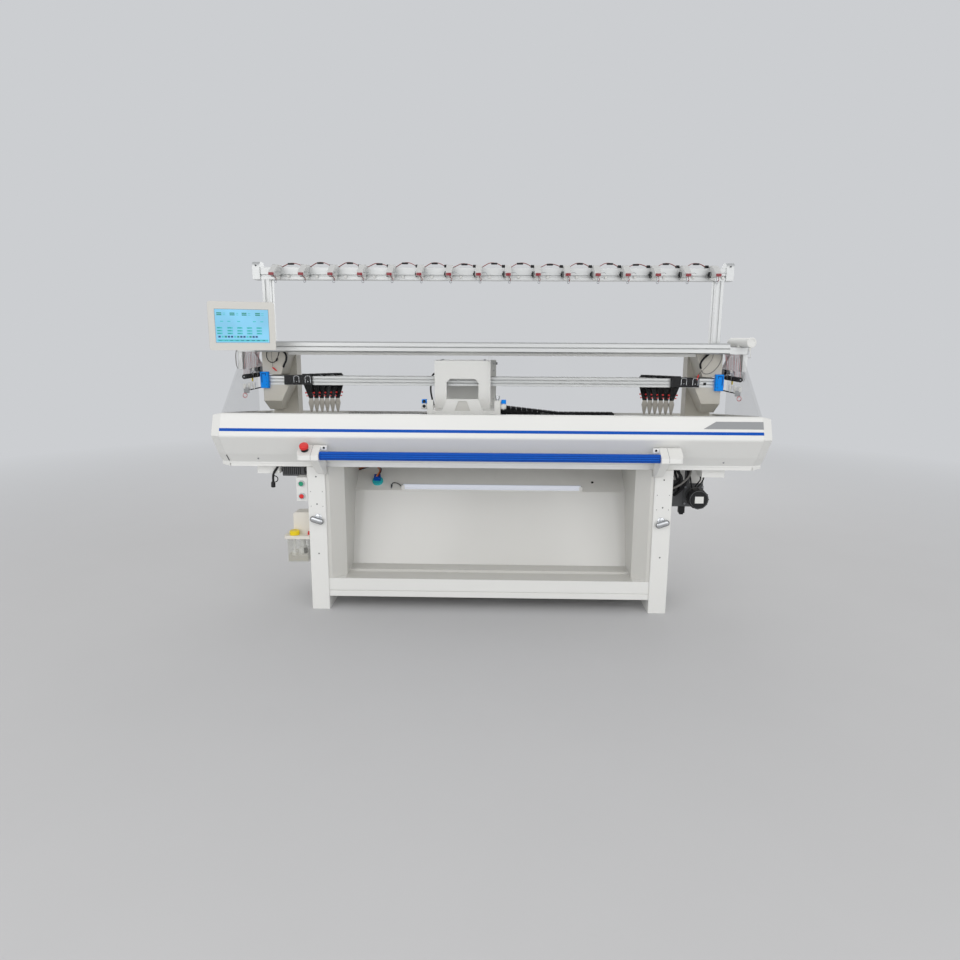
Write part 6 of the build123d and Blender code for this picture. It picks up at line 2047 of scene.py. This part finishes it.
@dataclass
class RearTrim:
    """Screws of the rear cover and the seams, louvres and locks of the control cabinet's back."""

    cover_back: float = 0.395
    cover_half: float = 1.12
    screw_rows: Flat = (0.7, 0.862)
    screw_count: int = 7
    cabinet_back: float = 0.262
    cabinet_half: float = 0.64
    cabinet_low: float = 0.175
    cabinet_high: float = 0.575
    seam: float = 0.0024
    louvre_count: int = 9

    def build(self) -> None:
        """Makes the pieces."""
        screws = Shape()
        for index in range(self.screw_count):
            across = self.cover_half * (2 * index / (self.screw_count - 1) - 1)
            for height in self.screw_rows:
                screws.screw((across, self.cover_back, height), (0, 1, 0), 0.0045)
        screws.piece("rear_cover_screws", "frame", STEEL)
        back, proud = self.cabinet_back - 0.0004, self.cabinet_back + 0.0003
        seams, wide, thin = Shape(), self.cabinet_half, self.seam / 2
        for across in (-wide, 0.0, wide):
            seams.box((across - thin, back, self.cabinet_low), (across + thin, proud, self.cabinet_high), 0.0)
        for height in (self.cabinet_low, self.cabinet_high):
            seams.box((-wide, back, height - thin), (wide, proud, height + thin), 0.0)
        seams.piece("cabinet_seams", "frame", DARK)
        louvres, locks = Shape(), Shape()
        profile = [(0.0, 0.011), (0.002, 0.011), (0.003, 0.009), (0.0012, 0.004), (0.0012, 0.0)]
        for side, _ in SIDES:
            near, far = side * 0.33 - 0.085, side * 0.33 + 0.085
            for index in range(self.louvre_count):
                height = 0.225 + 0.014 * index
                louvres.box((near, back, height), (far, proud + 0.0022, height + 0.004), 0.0012)
            for height in (0.26, 0.49):
                locks.lathe((side * 0.035, self.cabinet_back, height), (0, 1, 0), profile, 20)
        louvres.piece("cabinet_louvres", "frame", GREY)
        locks.piece("cabinet_locks", "frame", CHROME)


@dataclass
class SignalLamp:
    """Front ring, glands and lead of the signal lamp on the right corner."""

    middle: Point = (1.174, 0.01, 1.2443)
    length: float = 0.19
    radius: float = 0.022
    turn: float = math.radians(9)
    corner_x: float = 1.205

    def build(self) -> None:
        """Makes the pieces."""
        place = facing_front(self.middle, self.turn)
        half, radius = self.length / 2, self.radius
        rim = [
            (0.0, radius), (0.0, radius + 0.0012), (0.011, radius + 0.0012), (0.0125, radius - 0.001),
            (0.0125, radius - 0.006), (0.0105, radius - 0.007), (0.0105, 0.0),
        ]
        ring = Shape(place).lathe((0, 0, half - 0.01), (0, 0, 1), rim, 40)
        gland = [(0.0, 0.006), (0.014, 0.006), (0.016, 0.0042), (0.02, 0.0042), (0.02, 0.0)]
        ring.lathe((0, -radius + 0.004, half - 0.012), (0, -1, 0), gland, 16)
        plug = [(0.0, 0.006), (0.01, 0.006), (0.012, 0.0045), (0.016, 0.0045), (0.016, 0.0)]
        ring.lathe((-0.01, 0.002, -half), (0, 0, -1), plug, 16)
        ring.piece("signal_lamp_ends", "frame", PALE)
        across, back, up = place @ Vector((0, -radius - 0.015, half - 0.012))
        route = [
            (across, back, up), (across + 0.004, back, up - 0.014),
            (across + 0.01, back + 0.006, up - 0.03), (across + 0.004, back + 0.03, up - 0.034),
            (self.corner_x - 0.003, -0.0195, up - 0.03),
        ]
        lead("signal_lamp_lead", "frame", PALE, 0.003, route)


def main() -> None:
    """Builds the scene piece by piece."""
    logging.basicConfig(level=logging.INFO, format="%(name)s: %(message)s")
    builders = (
        Studio(), PackedNodes(), StandTrim(), CoverTrim(), Controls(), Oiler(), Carriage(), DragChain(),
        Feeders(), SideTension(), YarnRail(), Monitor(), Drives(), RearTrim(), SignalLamp(),
    )
    for builder in builders:
        LOG.info("building %s", type(builder).__name__)
        builder.build()


if __name__ == "__main__":
    main()
